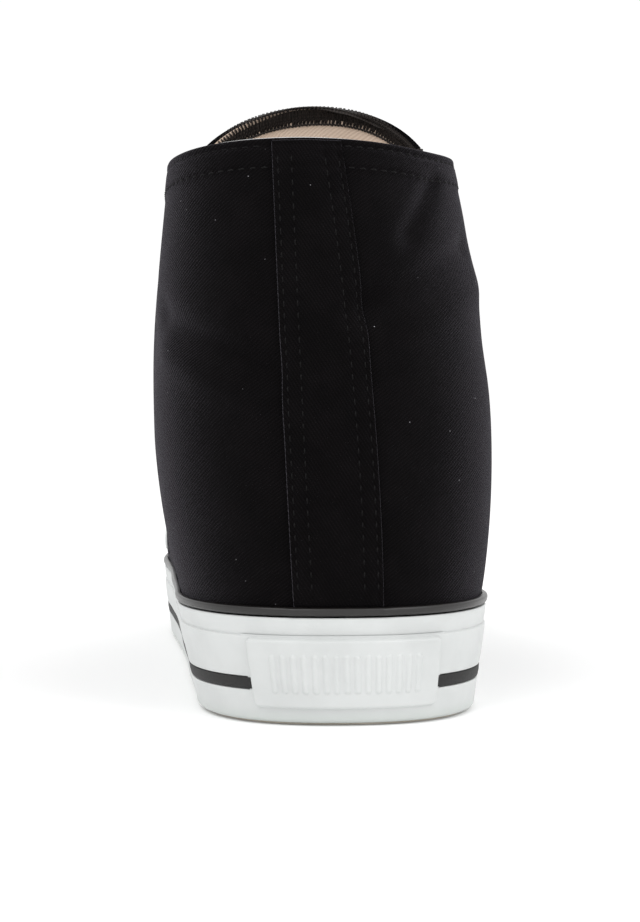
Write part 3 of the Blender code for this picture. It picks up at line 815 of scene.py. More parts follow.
def clothShares(turns, coarse, fine, band=0.0085):
    # levels for each turn, close together near the edge of the opening
    full = measureAt(turns, np.ones_like(turns))[1]
    edge = np.maximum(0.5, 1 - band / np.maximum(full, 0.02))
    low = edge[:, None] * np.linspace(0, 1, coarse)[None]
    high = edge[:, None] + (1 - edge[:, None]) * np.linspace(0, 1, fine + 1)[None, 1:]
    return np.concatenate([low, high], axis=1)


def edgeRoll(turns, radius, depth, rise=0.0, steps=5):
    # points that carry the cloth over its edge, from the outer to the inner face
    one = np.ones_like(turns)
    normal = upperNormal(turns, one)
    up = unit(upperPoint(turns, one) - upperPoint(turns, one * 0.99))
    isOpen = (headAlong(turns) < last["throatEnd"]).astype(float)
    rows = []
    for k in range(1, steps):
        angle = np.pi * k / steps
        lift = (radius + rise) * math.sin(angle) * isOpen  # rise may differ from turn to turn
        out = depth - radius * (1 - math.cos(angle))
        spot = upperPoint(turns, one) + normal * out[..., None] + up * lift[..., None]
        rows.append(place(spot))
    return np.stack(rows, axis=1)


def rollMeasure(u, v, roll):
    # cloth measure of the points that edgeRoll() gives
    count = roll.shape[1]
    along = np.repeat(u[:, -1:], count, axis=1)
    return along, v[:, -1:] + np.arange(1, count + 1)[None] * upperCloth["rollStep"]


def openRoll(turns, faces, uvs, rows, first, count):
    # where the two sides meet over the toes, the edge has no roll
    column, row = np.divmod(np.arange(len(faces)), rows)
    meets = headAlong(turns) >= last["throatEnd"]
    both = meets[column] & meets[np.minimum(column + 1, len(turns) - 1)]
    keep = ~(both & (row >= first) & (row <= first + count))
    return faces[keep], uvs[keep]


def makeCanvas():
    turns = allTurns
    shares = clothShares(turns, upperCloth["levels"], upperCloth["fine"])
    turnGrid = np.broadcast_to(turns[:, None], shares.shape)
    skirt = place(solePoint(turns, last["wallThickness"] + last["clear"] + 0 * turns,
                            last["soleThickness"] + last["clear"] + 0 * turns))[:, None]
    outer = clothPlace(turnGrid, shares, hemOut(turnGrid, shares) + vampSeam(turnGrid, shares))
    top = hemOut(turns, np.ones_like(turns)) + vampSeam(turns, np.ones_like(turns))
    roll = edgeRoll(turns, upperCloth["canvas"] / 2, top)
    innerShares = shares[:, ::-3]
    innerTurns = np.broadcast_to(turns[:, None], innerShares.shape)
    inner = clothPlace(innerTurns, innerShares, -upperCloth["canvas"])
    innerSkirt = skirt - (outlineNormal(turns) * upperCloth["canvas"])[:, None]
    ring = np.concatenate([skirt, outer, roll, inner, innerSkirt], axis=1)
    u, v = measureAt(turnGrid, shares)
    iu, iv = measureAt(innerTurns, innerShares)
    rollU, rollV = rollMeasure(u, v, roll)
    clothU = np.concatenate([u[:, :1], u, rollU, iu, iu[:, -1:]], axis=1)
    clothV = np.concatenate(
        [v[:, :1] - upperCloth["skirt"], v, rollV, iv, iv[:, -1:] - upperCloth["skirt"]], axis=1
    )
    count, rows = ring.shape[:2]
    faces = gridFaces(count, rows, closed=True)
    uvs = gridUvs(clothU, clothV, closed=True)
    faces, uvs = openRoll(turns, faces, uvs, rows, shares.shape[1], roll.shape[1])
    vertices = ring.reshape(-1, 3)
    faces, uvs = keepFaces(vertices, faces, uvs)
    made = addPiece("upper_canvas", vertices, faces, uvs, [canvas], slotName="upper")
    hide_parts("upper")
    return made


vampEdge = {"low": 0.565, "high": 0.665, "rise": 0.00045, "rows": (0.0016, 0.0042), "pitch": 0.0026}


def vampStation(share):
    return mix(vampEdge["low"], vampEdge["high"], share)


def vampSeam(turn, share):
    # the quarters lie on the vamp, a small step across the forefoot
    off = (vampStation(share) - headAlong(turn)) * last["length"]
    return vampEdge["rise"] * ease(-0.0009, 0.0009, off) * (1 - ease(0.012, 0.04, off))


def makeLining():
    turns = allTurns[::2]
    shares = clothShares(turns, 44, 10)
    turnGrid = np.broadcast_to(turns[:, None], shares.shape)
    thick = upperCloth["lining"]
    start = upperCloth["canvas"] + 0.00004
    outer = clothPlace(turnGrid, shares, -start)
    # the lining stands a little above the canvas at the back
    rear = 1 - ease(0.036, 0.075, np.abs(measureAt(turns, np.ones_like(turns))[0]))
    rise = mix(upperCloth["liningRise"], upperCloth["backRise"], rear)
    roll = edgeRoll(turns, thick / 2, -start + 0 * turns, rise)
    back = shares[:, ::-1]
    inner = clothPlace(turnGrid, back, -start - thick)
    ring = np.concatenate([outer, roll, inner], axis=1)
    u, v = measureAt(turnGrid, shares)
    rollU, rollV = rollMeasure(u, v, roll)
    clothU = np.concatenate([u, rollU, u[:, ::-1]], axis=1)
    clothV = np.concatenate([v, rollV, v[:, ::-1]], axis=1)
    count, rows = ring.shape[:2]
    faces = gridFaces(count, rows, closed=True)
    uvs = gridUvs(clothU, clothV, closed=True)
    faces, uvs = openRoll(turns, faces, uvs, rows, shares.shape[1] - 1, roll.shape[1])
    vertices = ring.reshape(-1, 3)
    faces, uvs = keepFaces(vertices, faces, uvs)
    return addPiece("upper_lining", vertices, faces, uvs, [liningCotton], slotName="upper")


def overlay(name, turnGrid, shareGrid, seat, thickness, profile, materials, slotName, holes=False):
    # closed sheet on the cloth: profile is 0 at its edges and 1 inside them
    outer = clothPlace(turnGrid, shareGrid, seat + thickness * profile)
    inner = clothPlace(turnGrid, shareGrid, seat + 0 * profile)
    vertices, faces, uvs = thinSheet(outer, inner, *measureAt(turnGrid, shareGrid))
    if holes:
        faces, uvs = keepFaces(vertices, faces, uvs)
    return addPiece(name, vertices, faces, uvs, materials, slotName=slotName)


def roundEdge(off, radius):
    # 0 at the edge, rounding up to 1 this far inside it
    s = np.clip(off / radius, 0.0, 1.0)
    return np.sqrt(np.maximum(0.0, 1 - (1 - s) ** 2))


heelStrip = {
    "width": 0.0192,
    "thickness": 0.0009,
    "seat": 0.0002,
    "edge": 0.0005,
    "rows": (0.0014, 0.0045),  # stitch rows, from each edge
    "dip": 0.00034,
    "pitch": 0.0028,
}


def stripShares(low, count, fine):
    return np.concatenate([np.linspace(low, 0.92, count), np.linspace(0.92, 1.0, fine + 1)[1:]])


def makeHeelStrip():
    edge = findTurn(lambda t: upperPoint(t, np.array(0.5))[0], heelStrip["width"] / 2)
    turns = np.linspace(-1, 1, 65) * edge
    turnGrid, shareGrid = np.meshgrid(turns, stripShares(0.0, 120, 20), indexing="ij")
    # distance inside the nearer side edge, and below the collar
    u = measureAt(turnGrid, shareGrid)[0]
    left = measureAt(-edge + 0 * turnGrid, shareGrid)[0]
    right = measureAt(edge + 0 * turnGrid, shareGrid)[0]
    off = np.minimum(right - u, u - left)
    below = belowHead(turnGrid, shareGrid)
    height = measureAt(turnGrid, shareGrid)[1]
    profile = np.minimum(roundEdge(off, heelStrip["edge"]), roundEdge(below, 0.0005))
    # its foot is pressed in behind the band
    profile = profile * mix(0.15, 1.0, ease(0.0, 0.0016, height))
    pucker = 0.6 + 0.4 * np.cos(2 * np.pi * height / heelStrip["pitch"])
    deep = heelStrip["dip"] / heelStrip["thickness"]
    for row in heelStrip["rows"]:
        profile = profile * (1 - deep * hump(off - row, 0.0007) * pucker)
    for row in hem["rows"]:
        profile = profile * (1 - 0.15 * hump(below - row, 0.0006))
    made = overlay(
        "heel_strip_canvas", turnGrid, shareGrid, heelStrip["seat"], heelStrip["thickness"], profile,
        [stripCanvas], "heel_strip",
    )
    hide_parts("heel_strip")
    return edge


eyestay = {
    "start": 0.345,
    "end": 0.668,
    "thickness": 0.0009,
    "seat": 0.0002,
    "edge": 0.0006,
    "rows": (0.0017, 0.0042),  # stitch rows, from the outer edge
    "throatRow": 0.0016,
    "pitch": 0.0026,
}


def makeEyestays():
    for side, word in ((1, "inner"), (-1, "outer")):
        turns = np.linspace(headTurn(eyestay["start"]), headTurn(eyestay["end"]), 150) * side
        if side < 0:
            turns = turns[::-1]
        facing = headValues(turns)[3]
        shareGrid = facing[:, None] + (1 - facing[:, None]) * np.linspace(0, 1, 44)[None]
        turnGrid = np.broadcast_to(turns[:, None], shareGrid.shape)
        u, v = measureAt(turnGrid, shareGrid)
        below = belowHead(turnGrid, shareGrid)
        inside = v - measureAt(turnGrid, np.broadcast_to(facing[:, None], shareGrid.shape))[1]
        ends = np.minimum(np.abs(u - u[:1]), np.abs(u - u[-1:]))
        off = np.minimum(np.minimum(inside, below), ends)
        profile = roundEdge(off, eyestay["edge"])
        made = overlay(
            f"eyestay_{word}_canvas", turnGrid, shareGrid, eyestay["seat"], eyestay["thickness"], profile,
            [facingCanvas], f"eyestay_{word}", holes=True,
        )
        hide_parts(f"eyestay_{word}")


toeCap = {"start": 0.770, "thickness": 0.0016, "seat": 0.0002, "edge": 0.0011}


def makeToeCap():
    start = float(turnAt(toeCap["start"]))
    half = np.linspace(start, 1, 100)
    turns = np.concatenate([half, -half[-2::-1]])
    shares = np.linspace(0.012, 1.0, 90)
    turnGrid, shareGrid = np.meshgrid(turns, shares, indexing="ij")
    ends = np.abs(np.abs(headAlong(turnGrid)) - headAlong(np.array(start))) * last["length"]
    height = measureAt(turnGrid, shareGrid)[1] - measureAt(turnGrid[:, :1], shareGrid[:, :1])[1]
    profile = np.minimum(roundEdge(ends, toeCap["edge"]), roundEdge(height, 0.0004))
    outer = smoothPlace(turnGrid, shareGrid, toeCap["seat"] + toeCap["thickness"] * profile)
    inner = smoothPlace(turnGrid, shareGrid, toeCap["seat"])
    vertices, faces, uvs = thinSheet(outer, inner, *measureAt(turnGrid, shareGrid))
    made = addPiece("toe_cap_rubber", vertices, faces, uvs, [wallRubber], slotName="toe_cap")
    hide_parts("toe_cap")


makeCanvas()
makeLining()
stripEdge = makeHeelStrip()
makeEyestays()
makeToeCap()
print("upper ready")


# Side wall, band, stripe and heel plate, all swept round the outline of the sole
wall = {
    "lift": 0.0005,
    "bandHeight": 0.0021,
    "bandThickness": 0.0014,
    "stepDrop": 0.0044,
    "stepDepth": 0.0004,
    "stripeHeight": 0.0028,
    "stripeMiddle": 0.0094,
    "stripeThickness": 0.0006,
}
plate = {"width": 0.0430, "height": 0.0162, "middle": 0.0120, "shift": 0.0012, "thickness": 0.0009}


def sweepRound(name, turns, rows, materials, slotName, caps=False):
    # rows: inset and height of each corner of the section, one array for each turn
    sections = np.stack([place(solePoint(turns, inset, height)) for inset, height in rows], axis=1)
    u = runLength(outlinePoint(turns))[:, None] + np.zeros(len(rows))[None]
    v = runLength(sections[0])[None] + np.zeros(len(turns))[:, None]
    faces = gridFaces(len(turns), len(rows), closed=True)
    uvs = gridUvs(u, v, closed=True)
    everyFace = faces.tolist()
    everyUv = uvs.reshape(-1, 2)
    if caps:
        count = len(rows)
        everyFace.append(list(range(count))[::-1])
        everyFace.append([len(turns) * count - count + k for k in range(count)])
        everyUv = np.concatenate([everyUv, np.zeros((2 * count, 2))])
    return addPiece(name, sections.reshape(-1, 3), everyFace, everyUv, materials, slotName=slotName)


def makeWall():
    turns = allTurns
    flat = 0 * turns
    head = wallHead(turns) - wall["bandHeight"] - last["clear"]
    step = head - wall["stepDrop"]
    low = wall["stripeMiddle"] - wall["stripeHeight"] / 2 - last["clear"] * 0.5
    high = wall["stripeMiddle"] + wall["stripeHeight"] / 2 + last["clear"] * 0.5
    sunk = wall["stripeThickness"] + last["clear"]
    lift, thick = wall["lift"], last["wallThickness"]
    # the foot is rounded, and a soft roll runs under the step
    rows = [(flat + thick, flat + lift), (flat + 0.0010, flat + lift)]
    for k in range(1, 6):
        angle = k / 5 * math.pi / 2
        rows.append((flat + 0.0010 * (1 - math.sin(angle)), flat + lift + 0.0010 * (1 - math.cos(angle))))
    rows += [(flat, flat + 0.0035), (flat, flat + 0.0060)]
    rows += [(flat, flat + low - 0.0004), (flat + 0.00008, flat + low - 0.0001)]
    rows += [(flat + 0.0003, flat + low)]
    rows += [(flat + sunk, flat + low), (flat + sunk, flat + high), (flat + 0.0003, flat + high)]
    rows += [(flat + 0.00008, flat + high + 0.0001), (flat, flat + high + 0.0004)]
    for s in (0.30, 0.60, 0.85):
        rows.append((flat - 0.00012 * math.sin(math.pi * s), mix(high, step, s)))
    depth = wall["stepDepth"]
    rows += [(flat, step - 0.0007), (flat + 0.00007, step - 0.0003), (flat + 0.0003, step - 0.0001)]
    rows += [(flat + depth + 0.00015, step), (flat + depth + 0.0001, step + 0.0002)]
    rows += [(flat + depth, step + 0.0006)]
    rows += [(flat + depth - 0.00005, mix(step, head, 0.6)), (flat + depth, head - 0.0003)]
    rows += [(flat + depth + 0.0002, head - 0.00005), (flat + depth + 0.0004, head), (flat + thick, head)]
    made = sweepRound("side_wall_rubber", turns, rows, [wallRubber], "foxing")
    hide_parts("foxing")


def makeBand():
    turns = allTurns
    high = wallHead(turns)
    low = high - wall["bandHeight"]
    u = measureAt(turns, 0 * turns)[0]
    edge = abs(float(measureAt(np.array(stripEdge), np.array(0.0))[0]))
    # it rises a little over the strip and most at the strip's edges
    over = 0.00022 * (1 - ease(edge - 0.0006, edge + 0.0016, np.abs(u)))
    over = over + 0.00030 * hump(np.abs(u) - edge, 0.0011)
    middle, half = (low + high) / 2, wall["bandHeight"] / 2
    rows = []
    for k in range(13):
        angle = -math.pi / 2 + math.pi * k / 12
        bulge = math.copysign(abs(math.cos(angle)) ** 0.6, math.cos(angle))
        lift = math.copysign(abs(math.sin(angle)) ** 0.8, math.sin(angle))
        inset = last["wallThickness"] - (wall["bandThickness"] + over) * bulge
        rows.append((inset, middle + half * lift))
    made = sweepRound("side_wall_band", turns, rows, [bandRubber], "foxing_band")
    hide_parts("foxing_band")


def plateTurn(side):
    limit = plate["width"] / 2 + side * plate["shift"]
    level = np.array(plate["middle"])
    return findTurn(lambda t: side * solePoint(side * t, np.array(0.0), level)[0], limit)


def makeStripe():
    inner, outer = plateTurn(1) + 0.0012, plateTurn(-1) + 0.0012
    turns = np.concatenate([[inner], halfTurns[halfTurns > inner + 0.001]])
    back = halfTurns[(halfTurns > outer + 0.001) & (halfTurns < 1)]
    turns = np.concatenate([turns, -back[::-1], [-outer]])
    flat = 0 * turns
    low = wall["stripeMiddle"] - wall["stripeHeight"] / 2
    high = wall["stripeMiddle"] + wall["stripeHeight"] / 2
    deep = wall["stripeThickness"]
    rows = [(flat + deep, flat + low), (flat + 0.0002, flat + low), (flat, flat + low + 0.0002)]
    rows += [(flat - 0.00008, flat + wall["stripeMiddle"]), (flat, flat + high - 0.0002)]
    rows += [(flat + 0.0002, flat + high), (flat + deep, flat + high)]
    made = sweepRound("side_wall_stripe", turns, rows, [stripeRubber], "foxing_stripe", caps=True)
    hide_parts("foxing_stripe")


relief = {"ribs": 15, "span": 0.0330, "ribHeight": 0.0088, "ribWidth": 0.00115, "proud": 0.00038}


def makePlate():
    columns, rows = 211, 81
    inner, outer = plateTurn(1), plateTurn(-1)
    # closer to even along the wall, and a little past the plate's ends
    across = np.linspace(-1, 1, columns)
    edge, centre = (inner + outer) / 2 * 1.06, (inner - outer) / 2
    up = np.linspace(-1, 1, rows)
    turnGrid = np.broadcast_to((centre + across * edge)[:, None], (columns, rows))
    heightGrid = np.broadcast_to((plate["middle"] + up * plate["height"] / 2 * 1.10)[None], (columns, rows))
    half = rows // 2
    x = runLength(solePoint(turnGrid, 0 * turnGrid, heightGrid)[:, half])
    first, final = np.interp((-outer, inner), turnGrid[:, half], x)
    x = (x - (first + final) / 2)[:, None] + 0 * heightGrid
    z = heightGrid - plate["middle"]
    # distance outside a rectangle with rounded corners
    corner, halfWidth, halfHeight = 0.0013, (final - first) / 2, plate["height"] / 2
    dx, dz = np.abs(x) - (halfWidth - corner), np.abs(z) - (halfHeight - corner)
    away = np.hypot(np.maximum(dx, 0), np.maximum(dz, 0)) + np.minimum(np.maximum(dx, dz), 0) - corner
    face = roundEdge(-away, 0.0007) * (plate["thickness"] + last["clear"])
    out = np.where(away > 0, -0.00015, face)
    step = relief["span"] / (relief["ribs"] - 1)
    rib = np.abs((x + relief["span"] / 2 + step / 2) % step - step / 2)
    inside = np.abs(x) < relief["span"] / 2 + step / 2
    tall = relief["ribHeight"] / 2 - relief["ribWidth"] / 2
    fromRib = np.hypot(rib, np.maximum(0, np.abs(z) - tall))
    bead = roundEdge(relief["ribWidth"] / 2 - fromRib + 0.0001, relief["ribWidth"] / 2) * inside
    out = out + bead * relief["proud"]
    outer = place(solePoint(turnGrid, -out, heightGrid))
    inner = place(solePoint(turnGrid, 0.0004 + 0 * turnGrid, heightGrid))
    vertices, faces, uvs = thinSheet(outer, inner, x, z)
    made = addPiece(
        "heel_plate_rubber", vertices, faces, uvs, [wallRubber], slotName="heel_plate", sharp=70
    )
    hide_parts("heel_plate")


makeWall()
makeBand()
makeStripe()
makePlate()
print("side wall ready")


# Outsole with its bars and fine tread, and the insole
tread = {
    "inset": 0.0019,
    "grooveDepth": 0.0016,
    "grooveWidth": 0.0030,
    "barWidth": 0.0115,
    "archRecess": 0.0022,
    "finePitch": 0.0036,
    "fineDepth": 0.0005,
    "border": 0.0050,
}


def soleGrid(lengthwise, crosswise, inset, height):
    # grid over the foot of the shoe: x, y, and how far each point lies inside its border
    turns = turnAt(alongAt(np.linspace(0, 1, lengthwise)))
    across = np.sin(np.linspace(-1, 1, crosswise) * math.pi / 2)
    flat = 0 * turns
    inner = solePoint(turns, flat + inset, flat + height)
    outer = solePoint(-turns, flat + inset, flat + height)
    ground = outer[:, None] + (inner - outer)[:, None] * ((across + 1) / 2)[None, :, None]
    width = np.linalg.norm(inner - outer, axis=-1)[:, None]
    return ground[..., 0], ground[..., 1], width / 2 * (1 - np.abs(across))[None]


def makeOutsole():
    x, y, border = soleGrid(420, 121, tread["inset"], 0.0)
    # bars across, ending at the arch, as deep as the solid's
    cycle = tread["barWidth"] + tread["grooveWidth"]
    depth = 0 * y
    for start, end in ((0.030, 0.330), (0.470, 0.975)):
        s = (y - start * last["length"]) % cycle
        half = tread["grooveWidth"] / 2
        groove = ease(0.0, 0.0010, half - np.abs(s - half - 0.0006) + 0.0004)
        zone = (y > start * last["length"]) & (y < (end + 0.012) * last["length"])
        depth = np.where(zone, np.maximum(depth, groove * tread["grooveDepth"]), depth)
    arch = ease(0.342, 0.356, y / last["length"]) * (1 - ease(0.450, 0.464, y / last["length"]))
    depth = np.maximum(depth, arch * tread["archRecess"])
    wave = np.abs(((y + np.abs(((x / 0.0072) % 1) - 0.5) * 0.0072) / tread["finePitch"]) % 1 - 0.5) * 2
    fine = ease(0.55, 0.8, wave) * tread["fineDepth"] * (depth < 0.0002)
    depth = (depth + fine) * ease(tread["border"] - 0.0008, tread["border"], border)
    ground = point(x, y, depth)
    top = point(x, y, 0 * y + last["soleThickness"])
    count, rows = y.shape
    lowFaces = gridFaces(count, rows)
    highFaces = gridFaces(count, rows, base=count * rows, flip=True)
    rimA = np.arange(count - 1) * rows
    rim = np.stack([rimA + count * rows, rimA + rows + count * rows, rimA + rows, rimA], axis=-1)
    rimB = rimA + rows - 1
    far = np.stack([rimB, rimB + rows, rimB + rows + count * rows, rimB + count * rows], axis=-1)
    faces = np.concatenate([lowFaces, highFaces, rim, far])
    uvs = np.concatenate([gridUvs(x, y), gridUvs(x, y, flip=True), np.zeros((2 * (count - 1), 4, 2))])
    vertices = np.concatenate([place(ground).reshape(-1, 3), place(top).reshape(-1, 3)])
    made = addPiece("outsole_rubber", vertices, faces, uvs, [soleRubber], slotName="outsole")
    faceOutward(made)
    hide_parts("outsole")


insole = {"heel": 0.0085, "toe": 0.0050, "inset": 0.0046, "cup": 0.0016, "drop": 0.0012}


def makeInsole():
    foot = last["soleThickness"] + last["clear"]
    x, y, border = soleGrid(160, 61, insole["inset"], foot)
    height = mix(insole["heel"], insole["toe"], ease(0.25, 0.65, y / last["length"]))
    cup = (1 - ease(0.0, 0.016, border)) * insole["cup"] * (1 - ease(0.3, 0.6, y / last["length"]))
    height = height - insole["drop"] * (1 - roundEdge(border, 0.0015)) + cup
    vertices = np.concatenate([
        place(point(x, y, foot + height)).reshape(-1, 3),
        place(point(x, y, foot + 0 * y)).reshape(-1, 3),
    ])
    count, rows = y.shape
    rimA = np.arange(count - 1) * rows
    rimB = rimA + rows - 1
    base = count * rows
    faces = np.concatenate([
        gridFaces(count, rows),
        gridFaces(count, rows, base=base, flip=True),
        np.stack([rimA, rimA + rows, rimA + rows + base, rimA + base], axis=-1),
        np.stack([rimB + base, rimB + rows + base, rimB + rows, rimB], axis=-1),
    ])
    uvs = np.concatenate([gridUvs(x, y), gridUvs(x, y, flip=True), np.zeros((2 * (count - 1), 4, 2))])
    made = addPiece("insole_cloth", vertices, faces, uvs, [insoleCotton], slotName="insole")
    faceOutward(made)
    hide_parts("insole")


soleRubber = whiteRubberMaterial("sole rubber", {
    **whiteRubber,
    "dark": colour(0.46, 0.42, 0.35),
    "light": colour(0.58, 0.53, 0.45),
    "footShadeAmount": 0.0,
    "gloss": 0.5,
})
insoleCotton = plainWeaveMaterial(
    "insole cotton", colour(0.50, 0.46, 0.38), colour(0.76, 0.71, 0.61), 0.0009, 0.0001
)
makeOutsole()
makeInsole()
print("sole ready")


# Tongue: black canvas in front, natural twill toward the ankle
tongue = {
    "thickness": 0.0017,
    "halfWidth": 0.0400,
    "shift": 0.0012,
    "reach": 0.0056,
    "arch": 0.0095,
    "shiftStart": 0.390,
    "tip": 0.25,
    "leftFall": 1.17,
    "rightFall": 0.96,
    "edge": 0.0011,
    "wave": 0.00035,  # soft waves across it
}
tongueRows = (
    # along, height, radius, spread
    (0.715, 0.435, 0.200, 0.54),
    (0.660, 0.512, 0.150, 0.58),
    (0.600, 0.610, 0.140, 0.64),
    (0.500, 0.785, 0.155, 0.74),
    (0.420, 0.948, 0.210, 0.90),
    (0.370, 1.045, 0.262, 0.93),
    (0.350, 1.135, 0.320, 0.96),
)


def tongueMiddle(at):
    # the tongue's middle line, how it bends across, and its width as a share
    table = [(-r[0], *r[1:]) for r in tongueRows]
    height, radius, spread = readRows(table, -at)
    sway = readRows(outlineRows, at)[3] * last["ballWidth"]
    shift = tongue["shift"] * (1 - ease(tongueRows[-1][0], tongue["shiftStart"], at))
    return point(sway + shift, at * last["length"], height * last["collarHeight"]), radius, spread


def tonguePlace(row, across, out=0.0):
    # row is 0 at the tongue's foot and 1 at its top, across is -1 to 1
    row, across, out = np.broadcast_arrays(
        np.asarray(row, float), np.asarray(across, float), np.asarray(out, float)
    )
    at = mix(tongueRows[0][0], tongueRows[-1][0], row)
    here, radius, spread = tongueMiddle(at)
    way = tongueMiddle(at - 1e-3)[0] - tongueMiddle(at + 1e-3)[0]
    way[..., 0] = 0
    way = unit(way)
    up = point(0 * row, way[..., 2], -way[..., 1])
    bend = radius * last["ballWidth"]
    angle = across * spread * tongue["halfWidth"] / bend
    limit = math.radians(80)
    turned = np.clip(angle, -limit, limit)
    leg = np.maximum(0.0, np.abs(angle) - limit) * bend
    face = bend + out
    x = face * np.sin(turned) + np.sign(across) * leg * math.cos(limit)
    drop = bend - face * np.cos(turned) + leg * math.sin(limit)
    fall = np.where(across < tongue["tip"], tongue["leftFall"], tongue["rightFall"])
    lean = (across - tongue["tip"]) / fall
    rise = (tongue["reach"] - tongue["arch"] * lean * lean) * ease(0.55, 1.0, row)
    spot = here + point(x, 0.0, 0.0) - up * drop[..., None] + way * rise[..., None]
    return place(spot)


def makeTongue():
    rowShares = np.concatenate([np.linspace(0, 0.97, 110), np.linspace(0.97, 1, 12)[1:]])
    acrossShares = np.sin(np.linspace(-1, 1, 111) * math.pi / 2)
    rowGrid, acrossGrid = np.meshgrid(rowShares, acrossShares, indexing="ij")
    middle = tonguePlace(rowGrid, acrossGrid)
    length = runLength(middle[:, 55])
    side = np.concatenate([np.zeros((len(rowGrid), 1)),
                           np.cumsum(np.linalg.norm(np.diff(middle, axis=1), axis=-1), axis=1)], axis=1)
    fromSide = np.minimum(side, side[:, -1:] - side)
    fromTop = (length[-1] - length)[:, None] + 0 * side
    half = tongue["thickness"] / 2
    thin = roundEdge(np.minimum(fromSide, fromTop), tongue["edge"])
    # a few soft waves across, none at the edges
    waves = tongue["wave"] * np.sin(length * 130)[:, None] * hump((acrossGrid - 0.2), 0.7)
    waves = waves * ease(0.005, 0.014, np.minimum(fromSide, fromTop))
    front = tonguePlace(rowGrid, acrossGrid, half * thin + waves)
    back = tonguePlace(rowGrid, acrossGrid, -half * thin + waves)
    count, rows = rowGrid.shape
    base = count * rows
    u = side - side[:, 55:56]
    v = length[:, None] + 0 * side
    rootFront = np.arange(rows - 1)
    root = np.stack([rootFront + base, rootFront + 1 + base, rootFront + 1, rootFront], axis=-1)
    faces = np.concatenate([gridFaces(count, rows, flip=True), gridFaces(count, rows, base=base), root])
    uvs = np.concatenate([gridUvs(u, v, flip=True), gridUvs(u, v), np.zeros((rows - 1, 4, 2))])
    n = (count - 1) * (rows - 1)
    # the twill under the dense thread is as dark as the thread
    under = (np.minimum(fromSide, fromTop) < overlock["base"] - 0.0006) & (acrossGrid > 0.1)
    behind = 1 + under[:-1, :-1].reshape(-1)
    slots = np.concatenate([np.zeros(n), behind, np.zeros(rows - 1)])
    vertices = np.concatenate([front.reshape(-1, 3), back.reshape(-1, 3)])
    made = addPiece("tongue_cloth", vertices, faces, uvs, [tongueCanvas, tongueTwill, edgeThread], slots,
                    slotName="tongue", sharp=60)
    made.data.flip_normals()  # so that the faces look outward
    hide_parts("tongue")


overlock = {
    "pitch": 0.00112,
    "depth": 0.0043,
    "frontDepth": 0.0036,
    "thread": 0.00029,
    "base": 0.0040,
    "bare": 0.0017,  # where the threads stand apart, the cloth shows this far in
    "startRow": 0.30,
    "pathPoints": 400,
    "proud": 0.00012,
    "needle": 0.00032,
    "spacing": 0.00045,
}


def edgePath():
    # rows and across values along the tongue's edge: up one side, over the top, down the other
    start, count = overlock["startRow"], overlock["pathPoints"]
    rows = np.concatenate([np.linspace(start, 1, count), np.ones(count), np.linspace(1, start, count)])
    across = np.concatenate([-np.ones(count), np.linspace(-1, 1, count), np.ones(count)])
    return rows, across, runLength(tonguePlace(rows, across))


